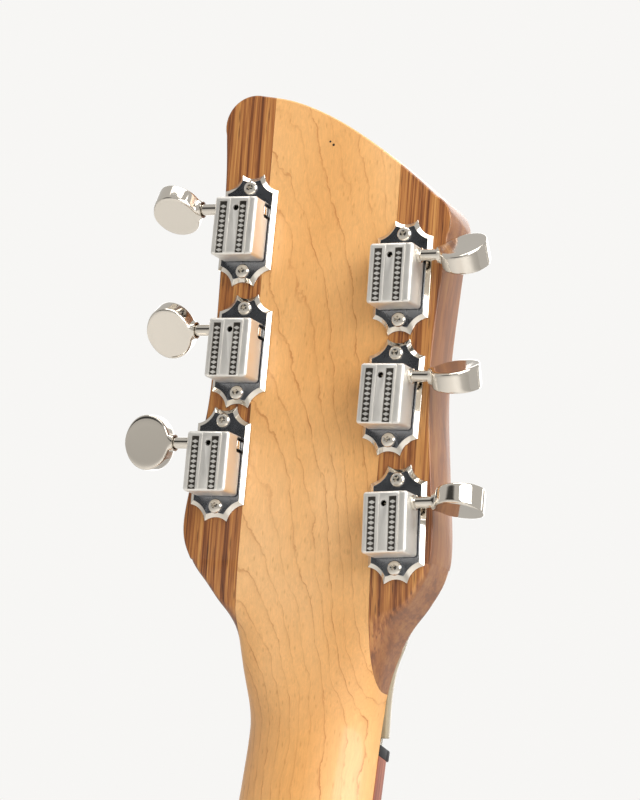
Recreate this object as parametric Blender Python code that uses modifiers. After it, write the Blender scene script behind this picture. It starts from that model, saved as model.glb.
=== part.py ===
# Six-string electric guitar: neck-through maple core, walnut wings, enclosed worm tuners.
# World frame: origin on the glue plane at the nut, +Z up the neck, strings face -Y, bass side -X.
# Lengths in this file are millimetres and angles are degrees; MM turns lengths into Blender's metres.

import math

import bmesh
import bpy
from mathutils import Matrix, Vector

MM = 0.001
GAP = 0.3                      # clearance between touching pieces

# headstock: u runs to the bass side, v up the headstock, w out of its back face
HEAD_TILT = 10.0
HEAD_THICKNESS = 17.25
HEAD_ORIGIN = (0.0, 45.03, 146.54)   # u = v = w = 0, on the back face
FOOT_TILT = 14.35              # the headstock's foot leans back further than its head
FOOT_TOP = -88.0               # v where the front face bends
FOOT_BACK_TOP = -100.0         # v where the back face bends
CORE_HALF_WIDTH = 22.1         # glue line between maple centre and walnut wing
HEAD_EDGE_ROUND = 2.0

# neck and fingerboard
SCALE_LENGTH = 628.0
FRET_COUNT = 22
NUT_HALF_WIDTH = 21.5
NUT_THICKNESS = 3.5
NUT_HEIGHT = 8.2
BOARD_THICKNESS = 6.5
FRET_HEIGHT = 1.3
FRET_HALF_WIDTH = 1.2
BOARD_END = -458.0
BOARD_END_HALF_WIDTH = 28.3
NECK_DEPTH_AT_NUT = 14.3
NECK_DEPTH_AT_BODY = 17.0
HEEL_START = -360.0

# body
BODY_TOP = -395.0
BODY_END = -808.0
BODY_FRONT = 0.2
BODY_BACK = 40.0
BODY_CORE_HALF_WIDTH = 30.0
BODY_EDGE_ROUND = 6.0

# tuner, in its own frame: x out to the button, y up the headstock, z off the wood
TUNER_PLATE_HALF_WIDTH = 9.1
TUNER_PLATE_SHOULDER = 12.8
TUNER_CUSP = (3.8, 18.25)
TUNER_PLATE_THICKNESS = 1.85
TUNER_PLATE_BEVEL = 1.5
TUNER_SCREW_OFFSET = 13.4
COVER_SIZE = (14.35, 18.7)
COVER_CENTRE_Y = -1.0
COVER_TOP = 11.3
COVER_WALL = 0.8
SHAFT_Y = 5.4
SHAFT_Z = 6.3
SHAFT_RADIUS = 1.8
WORM_RADIUS = 2.0
POST_Y = -1.0
POST_RADIUS = 3.0
GEAR_RADIUS = 4.0
POST_REACH = 7.5               # above the headstock's front face
POST_HOLE_RADIUS = 4.4
BUTTON_START = 13.6
BUTTON_WIDTH = 15.6
BUTTON_HEIGHT = 18.0
BUTTON_THICKNESS = 7.4
BUTTON_BORE_DEPTH = 7.0

# name, hand, place (u, v) of the midpoint between its screws, turn of the plate, turn of its button;
# strings run from number 1, the thinnest, on the treble side
TUNERS = (
    ("treble_far", -1, (-27.8, 8.2), -0.97, -62.0),
    ("treble_mid", -1, (-26.3, -30.55), -0.68, -38.0),
    ("treble_near", -1, (-30.35, -66.2), -0.44, -8.0),
    ("bass_far", 1, (25.9, -8.15), 0.41, -50.0),
    ("bass_mid", 1, (25.8, -45.4), -0.83, -62.0),
    ("bass_near", 1, (30.15, -84.4), 2.41, 82.0),
)

# strings: x at the nut, x at the bridge, radius, tuner; thinnest first
STRINGS = (
    (17.5, 26.0, 0.30, "treble_near"),
    (10.5, 15.6, 0.30, "treble_mid"),
    (3.5, 5.2, 0.32, "treble_far"),
    (-3.5, -5.2, 0.40, "bass_far"),
    (-10.5, -15.6, 0.50, "bass_mid"),
    (-17.5, -26.0, 0.60, "bass_near"),
)

# body hardware, as (x, z) on the front face
NECK_PICKUP_Z = -488.0
BRIDGE_PICKUP_Z = -590.0
PICKUP_SIZE = (82.0, 36.0, 7.4)
BRIDGE_SIZE = (96.0, 14.0, 7.7)
SADDLE_TOP = -11.0
TAILPIECE_Z = -668.0
TAILPIECE_SIZE = (90.0, 20.0, 10.0)
VOLUME_PLACE = (64.0, -664.0)
TONE_PLACE = (98.0, -702.0)
SELECTOR_PLACE = (100.0, -640.0)
JACK_PLACE = (112.0, -757.0)
CAVITY = ((44.0, 122.0), (-728.0, -614.0))
CAVITY_FLOOR = 8.0
LID_THICKNESS = 2.3

MATERIALS = {
    "maple": ("E0A860", 0.25, 0.0),
    "walnut": ("7A4A2C", 0.28, 0.0),
    "rosewood": ("4A2418", 0.45, 0.0),
    "nickel": ("D8D4CC", 0.12, 1.0),
    "steel": ("B8B8B8", 0.25, 1.0),
    "nut_black": ("161616", 0.35, 0.0),
    "cream_plastic": ("D8C9A4", 0.3, 0.0),
    "black_plastic": ("121212", 0.3, 0.0),
}


def linear_channel(value):
    return value / 12.92 if value <= 0.04045 else ((value + 0.055) / 1.055) ** 2.4


def make_material(part_name, kind):
    hex_colour, roughness, metallic = MATERIALS[kind]
    channels = [linear_channel(int(hex_colour[i:i + 2], 16) / 255) for i in (0, 2, 4)]
    material = bpy.data.materials.new(part_name + "_" + kind)
    material.use_nodes = True
    shader = material.node_tree.nodes["Principled BSDF"]
    shader.inputs["Base Color"].default_value = (*channels, 1.0)
    shader.inputs["Roughness"].default_value = roughness
    shader.inputs["Metallic"].default_value = metallic
    material.diffuse_color = (*channels, 1.0)
    return material


def clear_scene():
    for old in list(bpy.data.objects):
        bpy.data.objects.remove(old, do_unlink=True)


def make_collection(name):
    collection = bpy.data.collections.new(name)
    bpy.context.scene.collection.children.link(collection)
    return collection


clear_scene()
parts = make_collection("electric_guitar")
cutters = make_collection("cutters")


# ---- building blocks: each returns an object in the cutters collection until finish() moves it ----

def new_object(mesh, name="piece"):
    piece = bpy.data.objects.new(name, mesh)
    cutters.objects.link(piece)
    piece.hide_render = True
    piece.display_type = "WIRE"
    return piece


def place(piece, location=(0, 0, 0), rotation=(0, 0, 0), parent=None):
    piece.location = Vector(location) * MM
    piece.rotation_euler = [math.radians(angle) for angle in rotation]
    piece.parent = parent
    return piece


def finish(piece, name, kind, smooth_angle=35.0):
    cutters.objects.unlink(piece)
    parts.objects.link(piece)
    piece.hide_render = False
    piece.display_type = "TEXTURED"
    piece.name = name
    piece.data.materials.clear()
    piece.data.materials.append(make_material(name, kind))
    piece.data.shade_smooth()
    piece.data.set_sharp_from_angle(angle=math.radians(smooth_angle))
    return piece


def from_bmesh(shape):
    bmesh.ops.recalc_face_normals(shape, faces=shape.faces)
    mesh = bpy.data.meshes.new("shape")
    shape.to_mesh(mesh)
    shape.free()
    return new_object(mesh)


def box(low, high):
    low, high = Vector(low), Vector(high)
    shape = bmesh.new()
    size = (high - low) * MM
    matrix = Matrix.Translation((low + high) / 2 * MM) @ Matrix.Diagonal((*size, 1.0))
    bmesh.ops.create_cube(shape, size=1.0, matrix=matrix)
    return from_bmesh(shape)


def rod(start, end, radius, sides=16, end_radius=None):
    start, end = Vector(start), Vector(end)
    turn = (end - start).to_track_quat("Z", "Y").to_matrix().to_4x4()
    shape = bmesh.new()
    bmesh.ops.create_cone(
        shape, cap_ends=True, segments=sides, radius1=radius * MM,
        radius2=(radius if end_radius is None else end_radius) * MM,
        depth=(end - start).length * MM,
        matrix=Matrix.Translation((start + end) / 2 * MM) @ turn)
    return from_bmesh(shape)


def turned(profile, steps=20, closed=False):
    # profile: (radius, height) from the top down the outer side
    shape = bmesh.new()
    points = [shape.verts.new((radius * MM, 0, height * MM)) for radius, height in profile]
    pairs = list(zip(points, points[1:]))
    if closed:
        pairs.append((points[-1], points[0]))
    for first, second in pairs:
        shape.edges.new((first, second))
    mesh = bpy.data.meshes.new("profile")
    shape.to_mesh(mesh)
    shape.free()
    piece = new_object(mesh)
    screw = piece.modifiers.new("turn", "SCREW")
    screw.steps = screw.render_steps = steps
    screw.use_merge_vertices = True
    screw.merge_threshold = 0.00001
    bake(piece)
    shape = bmesh.new()
    shape.from_mesh(piece.data)
    bmesh.ops.recalc_face_normals(shape, faces=shape.faces)
    shape.to_mesh(piece.data)
    shape.free()
    return piece


def slab(outline, low, high):
    # flat outline in local x, y, from height low to high
    curve = bpy.data.curves.new("outline", "CURVE")
    curve.dimensions = "2D"
    curve.fill_mode = "BOTH"
    curve.extrude = (high - low) / 2 * MM
    spline = curve.splines.new("POLY")
    spline.points.add(len(outline) - 1)
    for point, (x, y) in zip(spline.points, outline):
        point.co = (x * MM, y * MM, 0, 1)
    spline.use_cyclic_u = True
    piece = to_mesh(new_object(curve))
    shape = bmesh.new()
    shape.from_mesh(piece.data)
    inner_edges = [edge for edge in shape.edges if edge.calc_face_angle(0) < 0.001]
    bmesh.ops.dissolve_edges(shape, edges=inner_edges, use_verts=False)
    shape.to_mesh(piece.data)
    shape.free()
    piece.data.transform(Matrix.Translation((0, 0, (low + high) / 2 * MM)))
    return piece


def wire(points, radius):
    curve = bpy.data.curves.new("wire", "CURVE")
    curve.dimensions = "3D"
    curve.bevel_depth = radius * MM
    curve.bevel_resolution = 1
    curve.use_fill_caps = True
    spline = curve.splines.new("POLY")
    spline.points.add(len(points) - 1)
    for point, place_ in zip(spline.points, points):
        point.co = (*(Vector(place_) * MM), 1)
    return to_mesh(new_object(curve))


def to_mesh(curve_object):
    graph = bpy.context.evaluated_depsgraph_get()
    mesh = bpy.data.meshes.new_from_object(curve_object.evaluated_get(graph))
    shape = bmesh.new()
    shape.from_mesh(mesh)
    bmesh.ops.remove_doubles(shape, verts=shape.verts, dist=0.000001)
    bmesh.ops.recalc_face_normals(shape, faces=shape.faces)
    shape.to_mesh(mesh)
    shape.free()
    piece = new_object(mesh)
    piece.matrix_world = curve_object.matrix_world
    bpy.data.objects.remove(curve_object, do_unlink=True)
    return piece


def loft(rings):
    # rings: equal-length lists of points, joined in order and closed at both ends
    shape = bmesh.new()
    rows = [[shape.verts.new(Vector(point) * MM) for point in ring] for ring in rings]
    for lower, upper in zip(rows, rows[1:]):
        for i in range(len(lower)):
            j = (i + 1) % len(lower)
            shape.faces.new((lower[i], lower[j], upper[j], upper[i]))
    shape.faces.new(rows[0])
    shape.faces.new(rows[-1])
    return from_bmesh(shape)


def group(pieces):
    # separate solids in one object, each where it stands
    bpy.context.view_layer.update()
    shape = bmesh.new()
    for piece in pieces:
        mesh = piece.data.copy()
        mesh.transform(piece.matrix_world)
        shape.from_mesh(mesh)
        bpy.data.meshes.remove(mesh)
        bpy.data.objects.remove(piece, do_unlink=True)
    return from_bmesh(shape)


def bevel(piece, width, segments=2, angle=40.0):
    modifier = piece.modifiers.new("bevel", "BEVEL")
    modifier.width = width * MM
    modifier.segments = segments
    modifier.limit_method = "ANGLE"
    modifier.angle_limit = math.radians(angle)
    return piece


def combine(piece, tool, operation="DIFFERENCE"):
    modifier = piece.modifiers.new(operation.lower(), "BOOLEAN")
    modifier.operation = operation
    modifier.solver = "EXACT"
    modifier.object = tool
    return piece


def bake(piece, *tools):
    # replaces the piece's mesh by what its modifiers make of it
    bpy.context.view_layer.update()
    graph = bpy.context.evaluated_depsgraph_get()
    mesh = bpy.data.meshes.new_from_object(piece.evaluated_get(graph))
    piece.modifiers.clear()
    piece.data = mesh
    for tool in tools:
        bpy.data.objects.remove(tool, do_unlink=True)
    return piece


def smooth_path(points, steps):
    # Catmull-Rom curve through the points, open at its ends
    padded = [points[0], *points, points[-1]]
    result = []
    for before, start, end, after in zip(padded, padded[1:], padded[2:], padded[3:]):
        for step in range(steps):
            t = step / steps
            result.append(tuple(
                0.5 * (2 * b + (c - a) * t + (2 * a - 5 * b + 4 * c - d) * t * t
                       + (3 * b - a - 3 * c + d) * t ** 3)
                for a, b, c, d in zip(before, start, end, after)))
    return result + [tuple(points[-1])]


def arc_through(start, end, sag, steps):
    # arc from start to end that bulges by sag to the left of that direction
    start, end = Vector(start), Vector(end)
    chord = end - start
    half = chord.length / 2
    radius = (half * half + sag * sag) / (2 * abs(sag))
    side = Vector((-chord.y, chord.x)).normalized() * (1 if sag > 0 else -1)
    centre = (start + end) / 2 - side * (radius - abs(sag))
    reach = math.asin(half / radius)
    points = []
    for step in range(steps + 1):
        angle = -reach + 2 * reach * step / steps
        points.append(tuple(centre + side * radius * math.cos(angle)
                            + chord.normalized() * radius * math.sin(angle)))
    return points


def at(path, height):
    # sideways place on an outline at the given height
    for (x0, y0), (x1, y1) in zip(path, path[1:]):
        if min(y0, y1) <= height <= max(y0, y1) and y0 != y1:
            return x0 + (x1 - x0) * (height - y0) / (y1 - y0)
    return path[0][0]


# ---- frames ----

tilt = math.radians(HEAD_TILT)
head_up = Vector((0, math.sin(tilt), math.cos(tilt)))
head_out = Vector((0, math.cos(tilt), -math.sin(tilt)))
head_origin = Vector(HEAD_ORIGIN)
head_frame = bpy.data.objects.new("headstock_frame", None)
parts.objects.link(head_frame)
head_axes = Matrix((Vector((-1, 0, 0)), head_up, head_out)).transposed().to_4x4()
head_frame.matrix_world = Matrix.Translation(head_origin * MM) @ head_axes


def head_point(u, v, w):
    return head_origin + Vector((-u, 0, 0)) + head_up * v + head_out * w


# ---- headstock outline ----

treble_edge = smooth_path((
    (-21.3, -153), (-21.4, -139), (-22.1, -129.5), (-23.7, -118.5), (-27.2, -110.6), (-32.6, -103.4),
    (-38.5, -96), (-42, -85.5), (-39.8, -66), (-36.9, -46), (-36.6, -20), (-37.4, 22), (-38.7, 40)), 3)
head_top = smooth_path((
    (-28.0, 52.6), (-15.4, 50), (-1.8, 44.2), (11.9, 35.8), (25.5, 25.6), (34.6, 17.8)), 3)
bass_edge = smooth_path((
    (39.3, 5), (38.2, -10), (37.0, -30), (37.2, -46), (39.3, -67.4), (41.4, -88), (40.4, -98),
    (35.6, -106.8), (30.0, -114.2), (25.6, -122), (22.8, -130.5), (21.4, -139), (21.3, -153)), 3)
upper_left = arc_through(treble_edge[-1], head_top[0], 4.6, 4)[1:-1]
upper_right = arc_through(head_top[-1], bass_edge[0], 2.8, 4)[1:-1]
SLAB_START = -96.0


def head_outline():
    left = [point for point in treble_edge if point[1] > SLAB_START]
    right = [point for point in bass_edge if point[1] > SLAB_START]
    foot = [(at(treble_edge, SLAB_START), SLAB_START)]
    end = [(at(bass_edge, SLAB_START), SLAB_START)]
    return foot + left + upper_left + head_top + upper_right + right + end


# ---- neck and headstock wood ----

foot_slope = math.tan(math.radians(FOOT_TILT))
foot_bend = head_point(0, FOOT_TOP, -HEAD_THICKNESS)
back_bend = head_point(0, FOOT_BACK_TOP, 0)


def neck_half_width(z):
    share = min(1.0, max(0.0, z / BOARD_END))
    return NUT_HALF_WIDTH - 0.2 + (BOARD_END_HALF_WIDTH - NUT_HALF_WIDTH) * share


def eased(value):
    value = min(1.0, max(0.0, value))
    return value * value * (3 - 2 * value)


def soft_ramp(value, softness):
    # 0 below zero and the value itself above, with a rounded corner
    return 0.5 * (value + math.sqrt(value * value + softness * softness))


def crown_depth(z):
    share = min(1.0, max(0.0, z / HEEL_START))
    crown = NECK_DEPTH_AT_NUT + (NECK_DEPTH_AT_BODY - NECK_DEPTH_AT_NUT) * share
    if z < HEEL_START:
        crown += 15.0 * ((HEEL_START - z) / (HEEL_START - BODY_TOP)) ** 2
    slope = (back_bend.y - NECK_DEPTH_AT_NUT) / back_bend.z
    crown += slope * soft_ramp(z, 7.0)
    return crown - (slope - math.tan(tilt)) * soft_ramp(z - back_bend.z, 3.0)


def neck_ring(z):
    # flat front and a rounded back; the round turns square as the neck becomes the headstock
    front = max(0.0, foot_bend.y + (z - foot_bend.z) * foot_slope)
    depth = crown_depth(z) - front
    power = 2.0 + 3.35 * eased((z - 5) / 27)
    squareness = eased((z - 30) / 11)
    sides = []
    for side, edge in ((1, treble_edge), (-1, bass_edge)):
        points = []
        for angle in (0, 2.5, 6, 14, 26, 40, 53, 64, 73, 81, 88):
            share = math.sin(math.radians(angle))
            y = front + depth * share
            v = (Vector((0, y, z)) - head_origin).dot(head_up)
            half = abs(at(edge, v)) if z > 0 else neck_half_width(z)
            round_inset = half * (1 - (1 - share ** power) ** (1 / power))
            near = min(depth * share, depth * (1 - share), HEAD_EDGE_ROUND)
            square_inset = HEAD_EDGE_ROUND - math.sqrt(HEAD_EDGE_ROUND ** 2 - (HEAD_EDGE_ROUND - near) ** 2)
            inset = round_inset + (square_inset - round_inset) * squareness
            # inside the headstock's slab the loft stays a hair under its faces
            hidden = 0.06 * min(1.0, max(0.0, v - SLAB_START - 0.1))
            points.append((side * (half - inset - hidden), y + hidden * (1 if share < 0.5 else -1), z))
        sides.append(points)
    return sides[0] + sides[1][::-1]


neck_stations = (-402, -395, -385, -372, -360, -240, -120, -30, -10, -4, 0, 4, 8, 12.9, 17, 21, 23.5, 26,
                 28.5, 32, 36, 40, 44, 48, 52, 56, 59, 62)
whole_head = slab(head_outline(), -HEAD_THICKNESS, 0)
bake(bevel(whole_head, HEAD_EDGE_ROUND))
place(whole_head, parent=head_frame)
neck_wood = loft([neck_ring(z) for z in neck_stations])
bpy.context.view_layer.update()
bake(combine(neck_wood, whole_head, "UNION"), whole_head)


def head_block(u_low, u_high):
    return place(box((u_low, -145, -60), (u_high, 80, 30)), parent=head_frame)


def post_holes():
    holes = []
    for name, hand, (u, v), turn, button_turn in TUNERS:
        holes.append(rod((u, v + POST_Y, -HEAD_THICKNESS - 5), (u, v + POST_Y, 5), POST_HOLE_RADIUS, 14))
    return place(group(holes), parent=head_frame)


all_post_holes = post_holes()
half_gap = GAP / 2


def headstock_wing(side, name):
    wing = new_object(neck_wood.data.copy())
    inner = CORE_HALF_WIDTH + half_gap
    keep = head_block(*((inner, 60) if side > 0 else (-60, -inner)))
    combine(wing, keep, "INTERSECT")
    combine(wing, all_post_holes)
    return finish(wing, name, "walnut")


headstock_wing(-1, "headstock_wing_treble")
headstock_wing(1, "headstock_wing_bass")

outer = CORE_HALF_WIDTH - half_gap
combine(neck_wood, head_block(outer, 70))
combine(neck_wood, head_block(-70, -outer))
body_core = box((-BODY_CORE_HALF_WIDTH, BODY_FRONT, BODY_END),
                (BODY_CORE_HALF_WIDTH, BODY_BACK, BODY_TOP))
combine(neck_wood, bake(bevel(body_core, 1.5, 1)), "UNION")
rod_channel = box((-3.3, -6, BOARD_END + 14), (3.3, 8.4, 22))
combine(neck_wood, rod_channel)
combine(neck_wood, all_post_holes)
finish(neck_wood, "neck_core", "maple")

rod_foot = BOARD_END + 18
rod_profile = ((0, 17), (3.0, 17), (3.0, 9), (2.5, 9), (2.5, rod_foot), (0, rod_foot))
truss_rod = place(turned(rod_profile, 12), (0, 4.6, 0))
finish(truss_rod, "truss_rod", "steel")


# ---- fingerboard, frets, markers, nut ----

def fret_z(number):
    return -SCALE_LENGTH * (1 - 2 ** (-number / 12))


def board_half_width(z):
    return NUT_HALF_WIDTH + (BOARD_END_HALF_WIDTH - NUT_HALF_WIDTH) * z / BOARD_END


board_front = -GAP - BOARD_THICKNESS
half_start, half_end = NUT_HALF_WIDTH, BOARD_END_HALF_WIDTH
board_outline = ((half_start, -GAP), (half_end, BOARD_END), (-half_end, BOARD_END), (-half_start, -GAP))
fingerboard = place(slab(board_outline, GAP, GAP + BOARD_THICKNESS), rotation=(90, 0, 0))
bevel(fingerboard, 0.4, 1)
fret_bars = []


# the frets are pressed into the board, so board and frets are one piece
for fret in range(1, FRET_COUNT + 1):
    z = fret_z(fret)
    reach = board_half_width(z) - 0.4
    bar = box((-reach, board_front - FRET_HEIGHT, z - FRET_HALF_WIDTH),
              (reach, board_front + 1, z + FRET_HALF_WIDTH))
    fret_bars.append(bar)
combine(fingerboard, group(fret_bars), "UNION")
finish(fingerboard, "fingerboard", "rosewood")

nut = box((-NUT_HALF_WIDTH, -NUT_HEIGHT, 0), (NUT_HALF_WIDTH, -GAP, NUT_THICKNESS))
finish(bevel(nut, 0.9, 2), "nut", "nut_black")

# ---- truss-rod cover: plate on the front of the headstock's foot; its y is 0 at the bend ----

COVER_PLATE_THICKNESS = 3.5
cover_side = smooth_path(((22.0, -58.9), (22.3, -48), (23.0, -41.6), (24.2, -36), (26.6, -29.4),
                          (27.4, -24.4), (24.0, -16.5), (15.0, -9.5), (6.0, -5.6), (0, -4.9)), 2)
cover_outline = cover_side + [(-x, y) for x, y in reversed(cover_side[:-1])]
truss_cover = place(slab(cover_outline, -GAP - COVER_PLATE_THICKNESS, -GAP), (0, FOOT_TOP, -HEAD_THICKNESS),
                    (FOOT_TILT - HEAD_TILT, 0, 0), head_frame)
bevel(truss_cover, 0.5, 1)
finish(truss_cover, "truss_rod_cover", "cream_plastic")


# ---- tuner masters, right hand ----

def plate_master():
    shoulder = (TUNER_PLATE_HALF_WIDTH, TUNER_PLATE_SHOULDER)
    cusp = TUNER_CUSP
    left_cusp = (-cusp[0], cusp[1])
    scallop = arc_through(shoulder, cusp, 1.3, 3)
    dip = arc_through(cusp, left_cusp, 1.5, 3)
    top = scallop + dip[1:-1] + [(-x, y) for x, y in reversed(scallop)]
    outline = top + [(-x, -y) for x, y in top]
    plate = slab(outline, 0.05, TUNER_PLATE_THICKNESS)
    shape = bmesh.new()
    shape.from_mesh(plate.data)
    rim = [edge for edge in shape.edges
           if all(vert.co.z > (TUNER_PLATE_THICKNESS - 0.1) * MM for vert in edge.verts)
           and any(abs(face.normal.z) < 0.5 for face in edge.link_faces)]
    bmesh.ops.bevel(shape, geom=rim, offset=TUNER_PLATE_BEVEL * MM, segments=1, affect="EDGES",
                    offset_type="OFFSET", clamp_overlap=True)
    shape.to_mesh(plate.data)
    shape.free()
    holes = [rod((0, end * TUNER_SCREW_OFFSET, -2), (0, end * TUNER_SCREW_OFFSET, 5), 1.5, 8)
             for end in (-1, 1)]
    holes.append(rod((0, POST_Y, -2), (0, POST_Y, 5), POST_RADIUS + 0.4, 12))
    drill = group(holes)
    bake(combine(plate, drill), drill)
    return plate


def cover_master(hand):
    half_x, half_y = COVER_SIZE[0] / 2, COVER_SIZE[1] / 2
    base = TUNER_PLATE_THICKNESS + GAP
    centre = COVER_CENTRE_Y
    outer_box = box((-half_x, centre - half_y, base - 3), (half_x, centre + half_y, COVER_TOP))
    bake(bevel(outer_box, 0.9, 2))
    wall = COVER_WALL
    inside = box((-half_x + wall, centre - half_y + wall, base - 8),
                 (half_x - wall, centre + half_y - wall, COVER_TOP - wall))
    trim = box((-20, -20, -9), (20, 20, base))
    bore = rod((2, SHAFT_Y, SHAFT_Z), (12, SHAFT_Y, SHAFT_Z), SHAFT_RADIUS + 0.4, 14)
    slot = box((4, SHAFT_Y - 1.5, 0), (12, SHAFT_Y + 1.5, SHAFT_Z))
    tab_slot = box((-12, SHAFT_Y - 2.4, 0), (-4, SHAFT_Y + 2.4, 5.6))
    oil_hole = rod((-0.3, 4.6, COVER_TOP - 4), (-0.3, 4.6, COVER_TOP + 4), 0.9, 10)
    strips = []
    for low, high in ((0.12, 0.30), (0.59, 0.76)):
        ends = sorted((hand * (2 * low - 1) * half_x, hand * (2 * high - 1) * half_x))
        strips.append(box((ends[0], centre - half_y + 0.5, COVER_TOP - 0.35),
                          (ends[1], centre + half_y - 1.5, COVER_TOP + 2)))
    tools = [inside, trim, bore, slot, tab_slot, oil_hole, group(strips)]
    for tool in tools:
        combine(outer_box, tool)
    return bake(outer_box, *tools)


def shaft_master():
    # turned about local z, then laid along x; origin on its own axis
    inner_end = -COVER_SIZE[0] / 2 + COVER_WALL + 0.4
    outer_end = BUTTON_START + BUTTON_BORE_DEPTH - GAP
    worm = WORM_RADIUS
    core = SHAFT_RADIUS
    shaft = turned(((0, outer_end), (core, outer_end), (core, 3.6), (worm, 3.2), (worm, -3.2), (core, -3.6),
                    (core, inner_end), (0, inner_end)), 14)
    shaft.data.transform(Matrix.Rotation(math.radians(90), 4, "Y"))
    return shaft


def button_master():
    # oval in local x, y; thin at the shaft and thicker towards the far end
    rings = []
    count = 16
    stations = ((0.0, 2.7, 2.7), (1.2, 3.5, 3.0), (2.0, 5.6, 3.1))
    rings_at = [(BUTTON_START + x, half, thick) for x, half, thick in stations]
    steps = 6
    for step in range(steps + 1):
        share = 0.22 + 0.775 * step / steps
        x = BUTTON_START + BUTTON_WIDTH * share
        offset = (share - 0.56) / 0.44 if share > 0.56 else (0.56 - share) / 0.52
        half = BUTTON_HEIGHT / 2 * max(0.16, 1 - offset ** 2.4) ** 0.5
        thick = BUTTON_THICKNESS / 2 * min(1.0, 0.84 + 0.2 * share)
        rings_at.append((x, half, thick))
    for x, half, thick in rings_at:
        ring = []
        for i in range(count):
            angle = 2 * math.pi * i / count
            power = 0.62 if half > 4 else 1.0
            ring.append((x, half * math.copysign(abs(math.cos(angle)) ** power, math.cos(angle)),
                         thick * math.copysign(abs(math.sin(angle)) ** power, math.sin(angle))))
        rings.append(ring)
    button = loft(rings)
    bore = rod((BUTTON_START - 2, 0, 0), (BUTTON_START + BUTTON_BORE_DEPTH, 0, 0), SHAFT_RADIUS + GAP, 12)
    return bake(combine(button, bore), bore)


def post_master():
    # gear inside the cover, post through the wood to the strings; origin on its axis
    gear_low, gear_high = SHAFT_Z - 1.5, SHAFT_Z + 1.5
    foot = -HEAD_THICKNESS - POST_REACH
    waist = -HEAD_THICKNESS - 4.6
    return turned(((0, gear_high + 1.4), (2.2, gear_high + 1.4), (2.2, gear_high), (GEAR_RADIUS, gear_high),
                   (GEAR_RADIUS, gear_low), (POST_RADIUS, gear_low), (POST_RADIUS, waist + 1.6),
                   (POST_RADIUS - 0.5, waist), (POST_RADIUS, waist - 1.6), (POST_RADIUS, foot + 0.5),
                   (POST_RADIUS - 0.5, foot), (0, foot)), 12)


def both_hands(master):
    right = master.data.copy()
    left = master.data.copy()
    left.transform(Matrix.Diagonal((-1, 1, 1, 1)))
    left.flip_normals()
    bpy.data.objects.remove(master, do_unlink=True)
    return {1: right, -1: left}


plates = both_hands(plate_master())
# the strips on the covers run the same way on both hands
covers = {hand: both_hands(cover_master(hand))[hand] for hand in (1, -1)}
shafts = both_hands(shaft_master())
buttons = both_hands(button_master())
posts = both_hands(post_master())

for name, hand, (u, v), turn, button_turn in TUNERS:
    frame = bpy.data.objects.new("tuner_" + name, None)
    parts.objects.link(frame)
    place(frame, (u, v, 0), (0, 0, turn), head_frame)
    shaft_place = (0, SHAFT_Y, SHAFT_Z)
    pieces = (
        ("base_plate_", plates, (0, 0, GAP - 0.05), 0, "nickel"),
        ("gear_cover_", covers, (0, 0, GAP), 0, "nickel"),
        ("worm_shaft_", shafts, shaft_place, 0, "nickel"),
        ("button_", buttons, shaft_place, button_turn * hand, "nickel"),
        ("string_post_", posts, (0, POST_Y, 0), 0, "nickel"),
    )
    for prefix, meshes, location, about_shaft, kind in pieces:
        piece = new_object(meshes[hand].copy())
        place(piece, location, (about_shaft, 0, 0), frame)
        finish(piece, prefix + name, kind)

# ---- strings ----

def string_route(nut_x, bridge_x, radius, tuner_name):
    u, v = next(spot for name, hand, spot, turn, button_turn in TUNERS if name == tuner_name)
    v += POST_Y
    inward = POST_RADIUS + GAP + radius
    post = head_point(u - inward * (1 if u > 0 else -1), v, -HEAD_THICKNESS - 4.6)
    nut_y = -NUT_HEIGHT - GAP - radius
    saddle_y = SADDLE_TOP - GAP - radius
    tail_z = TAILPIECE_Z + TAILPIECE_SIZE[1] / 2 + GAP
    return [tuple(post), (nut_x, nut_y, NUT_THICKNESS + 0.5), (nut_x, nut_y, -0.5),
            (bridge_x, saddle_y, -SCALE_LENGTH + 3.5), (bridge_x, saddle_y, -SCALE_LENGTH - 3.5),
            (bridge_x, -7.5, tail_z)]


for number, string in enumerate(STRINGS, 1):
    kind = "steel" if number <= 3 else "nickel"
    finish(wire(string_route(*string), string[2]), f"string_{number}", kind)

# ---- body wings ----

core_side = BODY_CORE_HALF_WIDTH + GAP
bass_outline = smooth_path((
    (-core_side, -396), (-50, -385), (-64, -352), (-92, -338), (-124, -362), (-146, -412), (-148, -465),
    (-136, -525), (-130, -575), (-142, -640), (-162, -705), (-150, -765), (-95, -802),
    (-core_side, -808)), 2)
treble_outline = smooth_path((
    (core_side, -402), (50, -400), (66, -372), (96, -362), (128, -395), (143, -440), (140, -490),
    (130, -540), (130, -595), (148, -655), (162, -712), (148, -768), (95, -802), (core_side, -808)), 2)


def body_wing(outline):
    wing = place(slab(outline, -BODY_BACK, -BODY_FRONT), rotation=(90, 0, 0))
    weights = wing.data.attributes.new("bevel_weight_edge", "FLOAT", "EDGE")
    inner = (core_side + 0.1) * MM
    for edge in wing.data.edges:
        ends = [wing.data.vertices[i].co for i in edge.vertices]
        flat = abs(ends[0].z - ends[1].z) < 1e-6
        glued = all(abs(end.x) < inner for end in ends)
        on_rim = flat and not glued
        weights.data[edge.index].value = 1.0 if on_rim else 0.0
    modifier = wing.modifiers.new("rounded rim", "BEVEL")
    modifier.limit_method = "WEIGHT"
    modifier.width = BODY_EDGE_ROUND * MM
    modifier.segments = 2
    return bake(wing)


finish(body_wing(bass_outline), "body_wing_bass", "walnut")

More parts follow.
